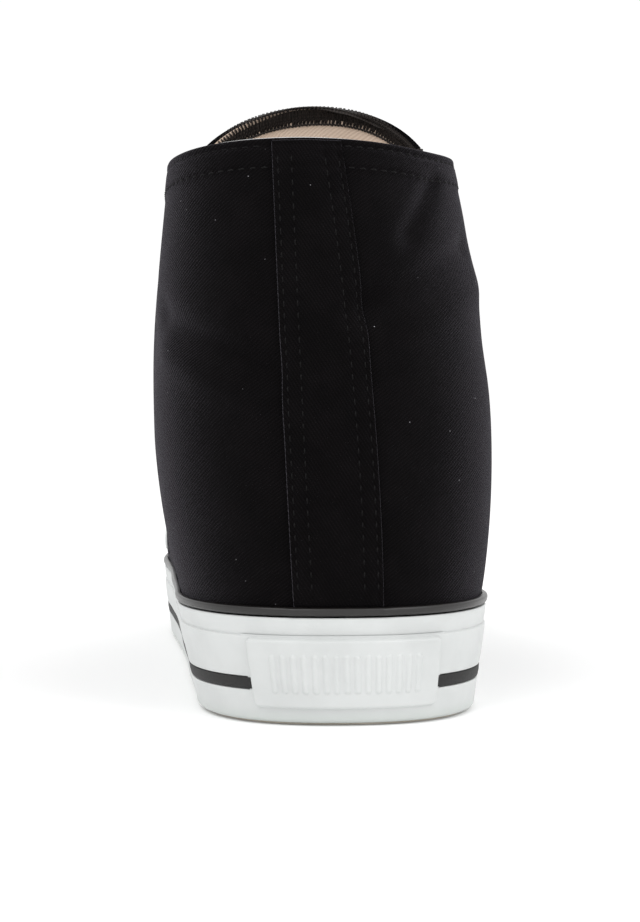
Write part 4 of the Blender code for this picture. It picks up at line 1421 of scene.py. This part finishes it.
def makeOverlock():
    rows, across, size = edgePath()
    count = int(size[-1] / overlock["pitch"])
    at = (np.arange(count) + 0.5) * overlock["pitch"]
    rng = np.random.default_rng(5)
    at = at + rng.uniform(-0.12, 0.12, count) * overlock["pitch"]

    def onEdge(s):
        return np.interp(s, size, rows), np.interp(s, size, across)

    def cloth(s, depth, out):
        # point this far in from the edge, on the front (out > 0) or back face
        r, a = onEdge(s)
        edge = tonguePlace(r, a)
        # the way in from the edge is toward the middle of the tongue, rounded at its corners
        target = tonguePlace(np.maximum(r - 0.10, 0.2), a * 0.72)
        inward = unit(target - edge)
        halfSpan = np.linalg.norm(target - edge, axis=-1)
        share = np.clip(depth / np.maximum(halfSpan, 1e-6), 0, 1)
        rr, aa = mix(r, np.maximum(r - 0.10, 0.2), share), mix(a, a * 0.72, share)
        return tonguePlace(rr, aa, out), inward

    half = tongue["thickness"] / 2 + overlock["proud"]

    def wrapThread(s0, s1, deep, frontDeep):
        # over the edge from the back face to the front face
        points = []
        for k in np.linspace(0, 1, 13):
            s = mix(s0, s1, k)
            if k < 0.45:
                share = 1 - k / 0.45
                depth = deep * share + 0.0001
                out = -(half + 0.00018 * math.sin(math.pi * min(1, share * 1.4)))
                out = np.full_like(s, out)
                if k == 0:
                    out = out + 0.0006
            elif k > 0.55:
                share = (k - 0.55) / 0.45
                depth = frontDeep * share + 0.0001
                out = np.full_like(s, half + 0.00018 * math.sin(math.pi * min(1, share * 1.4)))
                if k == 1:
                    out = out - 0.0006
            else:
                depth = np.full_like(s, -0.00035)
                out = np.full_like(s, mix(-half, half, (k - 0.45) / 0.10) * 0.8)
            spot, inward = cloth(s, np.maximum(depth, 0), out)
            if 0.45 <= k <= 0.55:
                spot = spot - inward * 0.00035
            points.append(spot)
        return np.stack(points, axis=1)

    loose = looseAt(at, size[-1])
    deep = overlock["depth"] + rng.uniform(-0.0002, 0.0003, count)
    front = overlock["frontDepth"] + 0 * at
    first = wrapThread(at, at + 0.15 * overlock["pitch"], deep, front)
    slant = (1.1 + 1.2 * loose) * overlock["pitch"]
    keep = rng.uniform(0, 1, count) < 0.9
    deep = overlock["depth"] - 0.0003 + 0 * at
    second = wrapThread(at[keep] + 0.3 * overlock["pitch"], (at + slant)[keep], deep[keep], front[keep])
    both = np.concatenate([first, second])
    way = unit(np.gradient(both, axis=1))
    upward = np.cross(way, np.roll(way, 1, axis=1) + np.array([0.3, 0.1, 0.2]))
    radius = overlock["thread"] * np.repeat([1.0, 0.8], [len(first), len(second)])
    addTubes("tongue_edge_threads", both, unit(upward), radius[:, None], 6, edgeThread, slotName="tongue")

    # dense thread under them, and the needle line at its inner edge
    at = np.arange(0.0008, size[-1] - 0.0008, overlock["spacing"])
    loose = looseAt(at, size[-1])
    low = overlock["bare"] * loose
    ring = []
    for share in (1.0, 0.66, 0.33, 0.0):
        off = mix(low, overlock["base"], share)
        ring.append(cloth(at, off, -(half + 0.00006) * (0.35 if share == 1.0 else 1.0))[0])
    for share in (0.0, 0.33, 0.66, 1.0):
        off = overlock["frontDepth"] * share
        ring.append(cloth(at, off + 0 * at, (half + 0.00006) * (0.35 if share == 1.0 else 1.0))[0])
    ring = np.stack(ring, axis=1)
    edge = cloth(at, 0 * at, 0.0)
    ring[:, 3:5] -= edge[1][:, None] * (0.00022 * (1 - loose))[:, None, None]
    u = at[:, None] + np.zeros(8)[None]
    v = np.linspace(0, 0.008, 8)[None] + 0 * at[:, None]
    faces = gridFaces(len(at), 8, closed=True)
    addPiece("tongue_edge_binding", ring.reshape(-1, 3), faces, gridUvs(u, v, closed=True),
             [edgeThread], slotName="tongue")
    deep = overlock["depth"] - 0.0004 + 0.00012 * np.sin(at / overlock["pitch"] * 2 * np.pi)
    line = cloth(at, deep, -(half + overlock["proud"]))[0][None]
    up = np.broadcast_to(np.array([0.1, -1.0, 0.1]), line.shape)
    addTubes("tongue_edge_needle_line", line, up, overlock["needle"], 6, edgeThread, slotName="tongue")


def looseAt(at, full):
    # where the threads stand apart and the cloth shows between them
    share = at / full
    left = ease(0.24, 0.30, share) * (1 - ease(0.44, 0.53, share))
    right = 0.2 * hump(share - 0.585, 0.012)
    return np.clip(left + right, 0, 1)


tongueCanvas = canvasMaterial("tongue canvas", 40, blackCanvas)
makeTongue()
makeOverlock()
print("tongue ready")


# Stitches, all joined into one mesh for each part
def stitchRow(points, normals, pitch, share=0.74):
    # paths of the stitches along a line on the cloth
    size = runLength(points)
    count = max(1, int(size[-1] / pitch))
    start = (np.arange(count) + (1 - share) / 2) * pitch
    s = start[:, None] + np.linspace(0, 1, 7)[None] * pitch * share
    spot = np.stack([np.interp(s, size, points[:, k]) for k in range(3)], axis=-1)
    normal = unit(np.stack([np.interp(s, size, normals[:, k]) for k in range(3)], axis=-1))
    lift = np.array([-0.00050, -0.00012, -0.00002, 0.00002, -0.00002, -0.00012, -0.00050])
    return spot + normal * lift[None, :, None], normal


def addStitches(name, rows, material, slotName, radius=0.00021):
    paths = np.concatenate([row[0] for row in rows])
    ups = np.concatenate([row[1] for row in rows])
    thick = radius * np.array([0.7, 0.9, 1.0, 1.0, 1.0, 0.9, 0.7])[None]
    return addTubes(name, paths, ups, thick, 6, material, flat=0.8, slotName=slotName)


def lineOnCloth(turn, share, out):
    turn, share = np.asarray(turn, float), np.asarray(share, float)
    return clothPlace(turn, share, out), upperNormal(turn, share)


def shareBelow(turn, below):
    # share of the wall that lies this far under the edge
    full = measureAt(turn, np.ones_like(turn))[1]
    return 1 - below / full


def makeStitches():
    # collar hem, from one eyestay round the back to the other
    limit = float(headTurn(eyestay["start"] + 0.01))
    hemRows = []
    for row in hem["rows"]:
        for low, high in ((-limit, -stripEdge * 1.03), (stripEdge * 1.03, limit)):
            turn = np.linspace(low, high, 300)
            share = shareBelow(turn, row)
            line = lineOnCloth(turn, share, hemOut(turn, share) + 0.00002)
            hemRows.append(stitchRow(*line, hem["pitch"]))
    addStitches("collar_hem_stitches", hemRows, blackThread, "upper")
    # two rows along each edge of the heel strip
    stripRows = []
    for side in (-1, 1):
        for row in heelStrip["rows"]:
            share = np.linspace(0.03, 0.985, 300)
            rim = measureAt(np.full_like(share, stripEdge * side), share)[0]
            turn = turnFor(rim - side * row, share)
            out = heelStrip["seat"] + heelStrip["thickness"] - heelStrip["dip"] * 0.6
            stripRows.append(stitchRow(*lineOnCloth(turn, share, out), heelStrip["pitch"]))
    addStitches("heel_strip_stitches", stripRows, blackThread, "heel_strip")
    # eyestays: one row along the throat, two along the outer edge
    for side, word in ((1, "inner"), (-1, "outer")):
        stayRows = []
        low = float(headTurn(eyestay["start"] + 0.008))
        high = float(headTurn(eyestay["end"] - 0.008))
        turn = np.linspace(low, high, 300) * side
        facing = headValues(turn)[3]
        full = measureAt(turn, np.ones_like(turn))[1]
        out = eyestay["seat"] + eyestay["thickness"] - 0.00004
        lines = [shareBelow(turn, eyestay["throatRow"])]
        lines += [facing + row / full for row in eyestay["rows"]]
        for share in lines:
            stayRows.append(stitchRow(*lineOnCloth(turn, share, out), eyestay["pitch"]))
        addStitches(f"eyestay_{word}_stitches", stayRows, blackThread, f"eyestay_{word}")
    # two rows across the forefoot, where the quarters lie on the vamp
    vampRows = []
    for side in (-1, 1):
        for back in vampEdge["rows"]:
            share = np.linspace(0.03, 0.67, 200)
            turn = side * headTurn(vampStation(share) - back / last["length"])
            vampRows.append(stitchRow(*lineOnCloth(turn, share, vampEdge["rise"]), vampEdge["pitch"]))
    addStitches("vamp_stitches", vampRows, blackThread, "upper")


makeStitches()
print("stitches ready")


# Eyelets and lace
eyelet = {
    # radius and height above the cloth, round the section, in millimetres
    "section": (
        (3.40, 1.10), (3.42, 1.35), (3.25, 1.80), (2.90, 2.15), (2.45, 2.28), (2.05, 2.15),
        (1.78, 1.80), (1.68, 1.30), (1.66, 0.0), (1.66, -1.70), (1.74, -2.15), (2.05, -2.50),
        (2.50, -2.55), (2.85, -2.35), (2.95, -2.05), (2.60, -2.02), (2.00, -1.95), (1.95, 1.00),
        (3.0, 1.05),
    ),
    "sides": 32,
}


def makeEyelets():
    section = np.array(eyelet["section"]) / 1000
    angle = np.arange(eyelet["sides"] + 1) / eyelet["sides"] * 2 * np.pi
    for word in ("inner", "outer"):
        middles, ways = eyeletSpots[word][2:]
        vertices, faces, uvs = [], [], []
        for k, (middle, way) in enumerate(zip(middles, ways)):
            side = unit(np.cross(way, np.array([0.0, 0.3, 1.0])))
            other = np.cross(way, side)
            ring = side[None] * np.cos(angle)[:, None] + other[None] * np.sin(angle)[:, None]
            grid = middle + ring[:, None] * section[None, :, :1] + way * section[None, :, 1:]
            base = k * grid.shape[0] * grid.shape[1]
            vertices.append(grid.reshape(-1, 3))
            faces.append(gridFaces(grid.shape[0], grid.shape[1], closed=True, base=base))
            u = angle[:, None] * 0.003 + 0 * section[None, :, 0]
            v = np.arange(len(section))[None] * 0.0005 + 0 * u
            uvs.append(gridUvs(u, v, closed=True))
        made = addPiece(f"eyelets_{word}_metal", np.concatenate(vertices), np.concatenate(faces),
                        np.concatenate(uvs), [eyeletMetal], slotName=f"eyelet_{word}_1")
        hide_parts(*[f"eyelet_{word}_{k + 1}" for k in range(lacing["count"])])


lace = {
    "width": 0.0064,
    "thickness": 0.0013,
    "narrow": 0.0040,  # beside an eyelet
    "squeezed": 0.0028,  # inside an eyelet
    "rolled": 0.0019,
    "depths": (-0.0026, -0.0010, 0.0010),
    "bow": 0.0022,
    "rise": 0.0031,
    "corners": 20,
}


def makeLace():
    # one flat lace: straight bars above, short runs under the eyestays between them
    keys = []  # spot, way of the width, width, thickness

    def rowWay(word, k):
        turn, share = eyeletSpots[word][0][k], eyeletSpots[word][1][k]
        ahead = smoothPlace(np.array(turn * 1.01), np.array(share))
        behind = smoothPlace(np.array(turn * 0.99), np.array(share))
        way = unit(ahead - behind)
        return way if way[1] > 0 else -way

    def under(word, k, deep, wide):
        spot, way = eyeletSpots[word][2][k], eyeletSpots[word][3][k]
        keys.append((spot + way * deep, rowWay(word, k), wide, lace["rolled"]))

    def bar(fromWord, toWord, k):
        a, b = eyeletSpots[fromWord], eyeletSpots[toWord]
        wa, wb = rowWay(fromWord, k), rowWay(toWord, k)
        high = lace["rise"]
        for deep in lace["depths"]:
            under(fromWord, k, deep, lace["squeezed"])
        for depth, wide in ((0.35, lace["narrow"]), (1.0, lace["width"])):
            share = mix(a[1][k], 1.0, depth)
            keys.append((smoothPlace(a[0][k], share, high + 0.0002), wa, wide, lace["thickness"]))
        left = smoothPlace(a[0][k], 1.0, high)
        right = smoothPlace(b[0][k], 1.0, high)
        crown = (left + right) / 2 + np.array([0, lace["bow"] * 0.5, lace["bow"]])
        for share in (0.25, 0.5, 0.75):
            flat = mix(left, right, share)
            lift = 1 - (2 * share - 1) ** 2
            spot = flat + (crown - (left + right) / 2) * lift
            keys.append((spot, unit(mix(wa, wb, share)), lace["width"], lace["thickness"]))
        for depth, wide in ((1.0, lace["width"]), (0.35, lace["narrow"])):
            share = mix(b[1][k], 1.0, depth)
            keys.append((smoothPlace(b[0][k], share, high + 0.0002), wb, wide, lace["thickness"]))
        for deep in lace["depths"][::-1]:
            under(toWord, k, deep, lace["squeezed"])

    words = ["outer", "inner"]
    # the hidden end comes down inside the outer eyestay
    turn, share = eyeletSpots["outer"][0], eyeletSpots["outer"][1]
    for k in range(lacing["count"] - 1, -1, -1):
        spot = smoothPlace(turn[k], share[k] - 0.035, -0.0036)
        across = unit(smoothPlace(turn[k], share[k], 0.0) - smoothPlace(turn[k], share[k] - 0.05, 0.0))
        keys.append((spot, across, 0.0045, 0.0012))
    for k in range(lacing["count"]):
        here, there = words[k % 2], words[(k + 1) % 2]
        bar(here, there, k)
        if k < lacing["count"] - 1:
            spot = (eyeletSpots[there][2][k] + eyeletSpots[there][2][k + 1]) / 2
            way = unit(eyeletSpots[there][3][k] + eyeletSpots[there][3][k + 1])
            across = unit(np.cross(way, rowWay(there, k)))
            keys.append((spot - way * 0.0038, rowWay(there, k) * 0.5 + across * 0.5, 0.0034, 0.0015))
    spots, sides, wide, thick = (np.array(values) for values in zip(*keys))
    # keep the way of the width from flipping over
    for k in range(1, len(sides)):
        if np.dot(sides[k], sides[k - 1]) < 0:
            sides[k] = -sides[k]
    n = len(keys)
    fine = 7
    at = np.arange((n - 1) * fine + 1) / fine

    def smoothly(values):
        i = np.clip(np.floor(at).astype(int), 0, n - 2)
        t = (at - i).reshape((-1,) + (1,) * (values.ndim - 1))
        p0, p1 = values[np.maximum(i - 1, 0)], values[i]
        p2, p3 = values[i + 1], values[np.minimum(i + 2, n - 1)]
        return 0.5 * (2 * p1 + (p2 - p0) * t + (2 * p0 - 5 * p1 + 4 * p2 - p3) * t**2
                      + (3 * p1 - p0 - 3 * p2 + p3) * t**3)

    path = smoothly(spots)
    side = smoothly(sides)
    wide, thick = smoothly(wide), smoothly(thick)
    way = unit(np.gradient(path, axis=0))
    side = unit(side - (side * way).sum(axis=-1, keepdims=True) * way)
    up = np.cross(way, side)
    corners = lace["corners"]
    angle = np.arange(corners) / corners * 2 * np.pi
    x = np.sign(np.cos(angle)) * np.abs(np.cos(angle)) ** 0.75
    y = np.sign(np.sin(angle)) * np.abs(np.sin(angle)) ** 0.75
    ring = path[:, None] + side[:, None] * (x[None] * wide[:, None] / 2)[..., None]
    ring = ring + up[:, None] * (y[None] * thick[:, None] / 2)[..., None]
    u = runLength(path)[:, None] + 0 * x[None]
    v = np.cumsum(np.abs(np.diff(np.append(x, x[0])))) * 0.0032
    v = v[None] + 0 * u
    faces = gridFaces(len(path), corners, closed=True).tolist()
    final = (len(path) - 1) * corners
    faces += [list(range(corners))[::-1], [final + k for k in range(corners)]]
    uvs = np.concatenate([gridUvs(u, v, closed=True).reshape(-1, 2), np.zeros((2 * corners, 2))])
    made = addPiece(
        "lace_cotton", ring.reshape(-1, 3), faces, uvs, [laceCotton], slotName="lace_bar_1", weld=0
    )
    made.data.flip_normals()  # so that the faces look outward
    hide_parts(*[f"lace_bar_{k + 1}" for k in range(lacing["count"])])


laceCotton = plainWeaveMaterial(
    "lace cotton", colour(0.52, 0.51, 0.48), colour(0.84, 0.83, 0.80), 0.0008, 0.00016, 0.2
)
makeEyelets()
makeLace()
print("lacing ready")


# Floor, lights and camera
studio = {
    "sky": 1.03,
    "aim": (0, 0.05, 0.05),
    "floor": colour(0.97, 0.97, 0.97),
    "floorSize": 12.0,
    "glow": 0.07,  # lifts the floor's shadows to the photo's white ground
}
camera = {
    "focalPixels": 1928.0,
    "imageLong": 922.0,
    "sensorWidth": 36.0,
    "distance": 0.434,  # from the back of the heel
    "heelBack": (-0.0006, -0.045),
    "heelRight": 0.0048,  # the heel stands this far right of the view's middle
    "height": 0.0676,
    "yaw": 2.9,  # degrees, toward the inner side
    "pitch": 0.93,  # degrees, downward
}


def makeFloor():
    half = studio["floorSize"] / 2
    corners = np.array([(-half, -half, 0), (half, -half, 0), (half, half, 0), (-half, half, 0)], float)
    corners[:, 2] = -0.0002
    mesh = bpy.data.meshes.new("floor")
    mesh.from_pydata(corners.tolist(), [], [(0, 1, 2, 3)])
    made = bpy.data.objects.new("floor", mesh)
    bpy.context.scene.collection.objects.link(made)
    paint = Shader("pale floor")
    mesh.materials.append(paint.finish({
        "Base Color": studio["floor"],
        "Roughness": 0.8,
        "Specular IOR Level": 0.1,
        "Emission Color": studio["floor"],
        "Emission Strength": studio["glow"],
    }))


def addLight(name, spot, size, power):
    data = bpy.data.lights.new(name, "AREA")
    data.shape = "DISK"
    data.size = size
    data.energy = power
    made = bpy.data.objects.new(name, data)
    made.location = spot
    way = Vector(studio["aim"]) - Vector(spot)
    made.rotation_euler = way.to_track_quat("-Z", "Y").to_euler()
    bpy.context.scene.collection.objects.link(made)


def addCamera():
    yaw = math.radians(camera["yaw"])
    way = Vector((math.sin(yaw), math.cos(yaw)))
    right = Vector((math.cos(yaw), -math.sin(yaw)))
    spot = Vector(camera["heelBack"]) - way * camera["distance"] - right * camera["heelRight"]
    data = bpy.data.cameras.new("camera")
    data.sensor_width = camera["sensorWidth"]
    data.lens = camera["focalPixels"] * camera["sensorWidth"] / camera["imageLong"]
    data.clip_start = 0.01
    made = bpy.data.objects.new("camera", data)
    made.location = (spot.x, spot.y, camera["height"])
    made.rotation_euler = (math.radians(90 - camera["pitch"]), 0, -yaw)
    bpy.context.scene.collection.objects.link(made)
    bpy.context.scene.camera = made


makeFloor()
addLight("key light", (-0.7, -1.1, 1.5), 1.2, 9)
addLight("fill light", (1.0, -0.9, 1.0), 1.2, 6)
addCamera()
world = bpy.data.worlds.new("studio")
world.use_nodes = True
world.node_tree.nodes["Background"].inputs[0].default_value = (1, 1, 1, 1)
world.node_tree.nodes["Background"].inputs[1].default_value = studio["sky"]
bpy.context.scene.world = world
bpy.context.scene.view_settings.view_transform = "Standard"
print("studio ready")
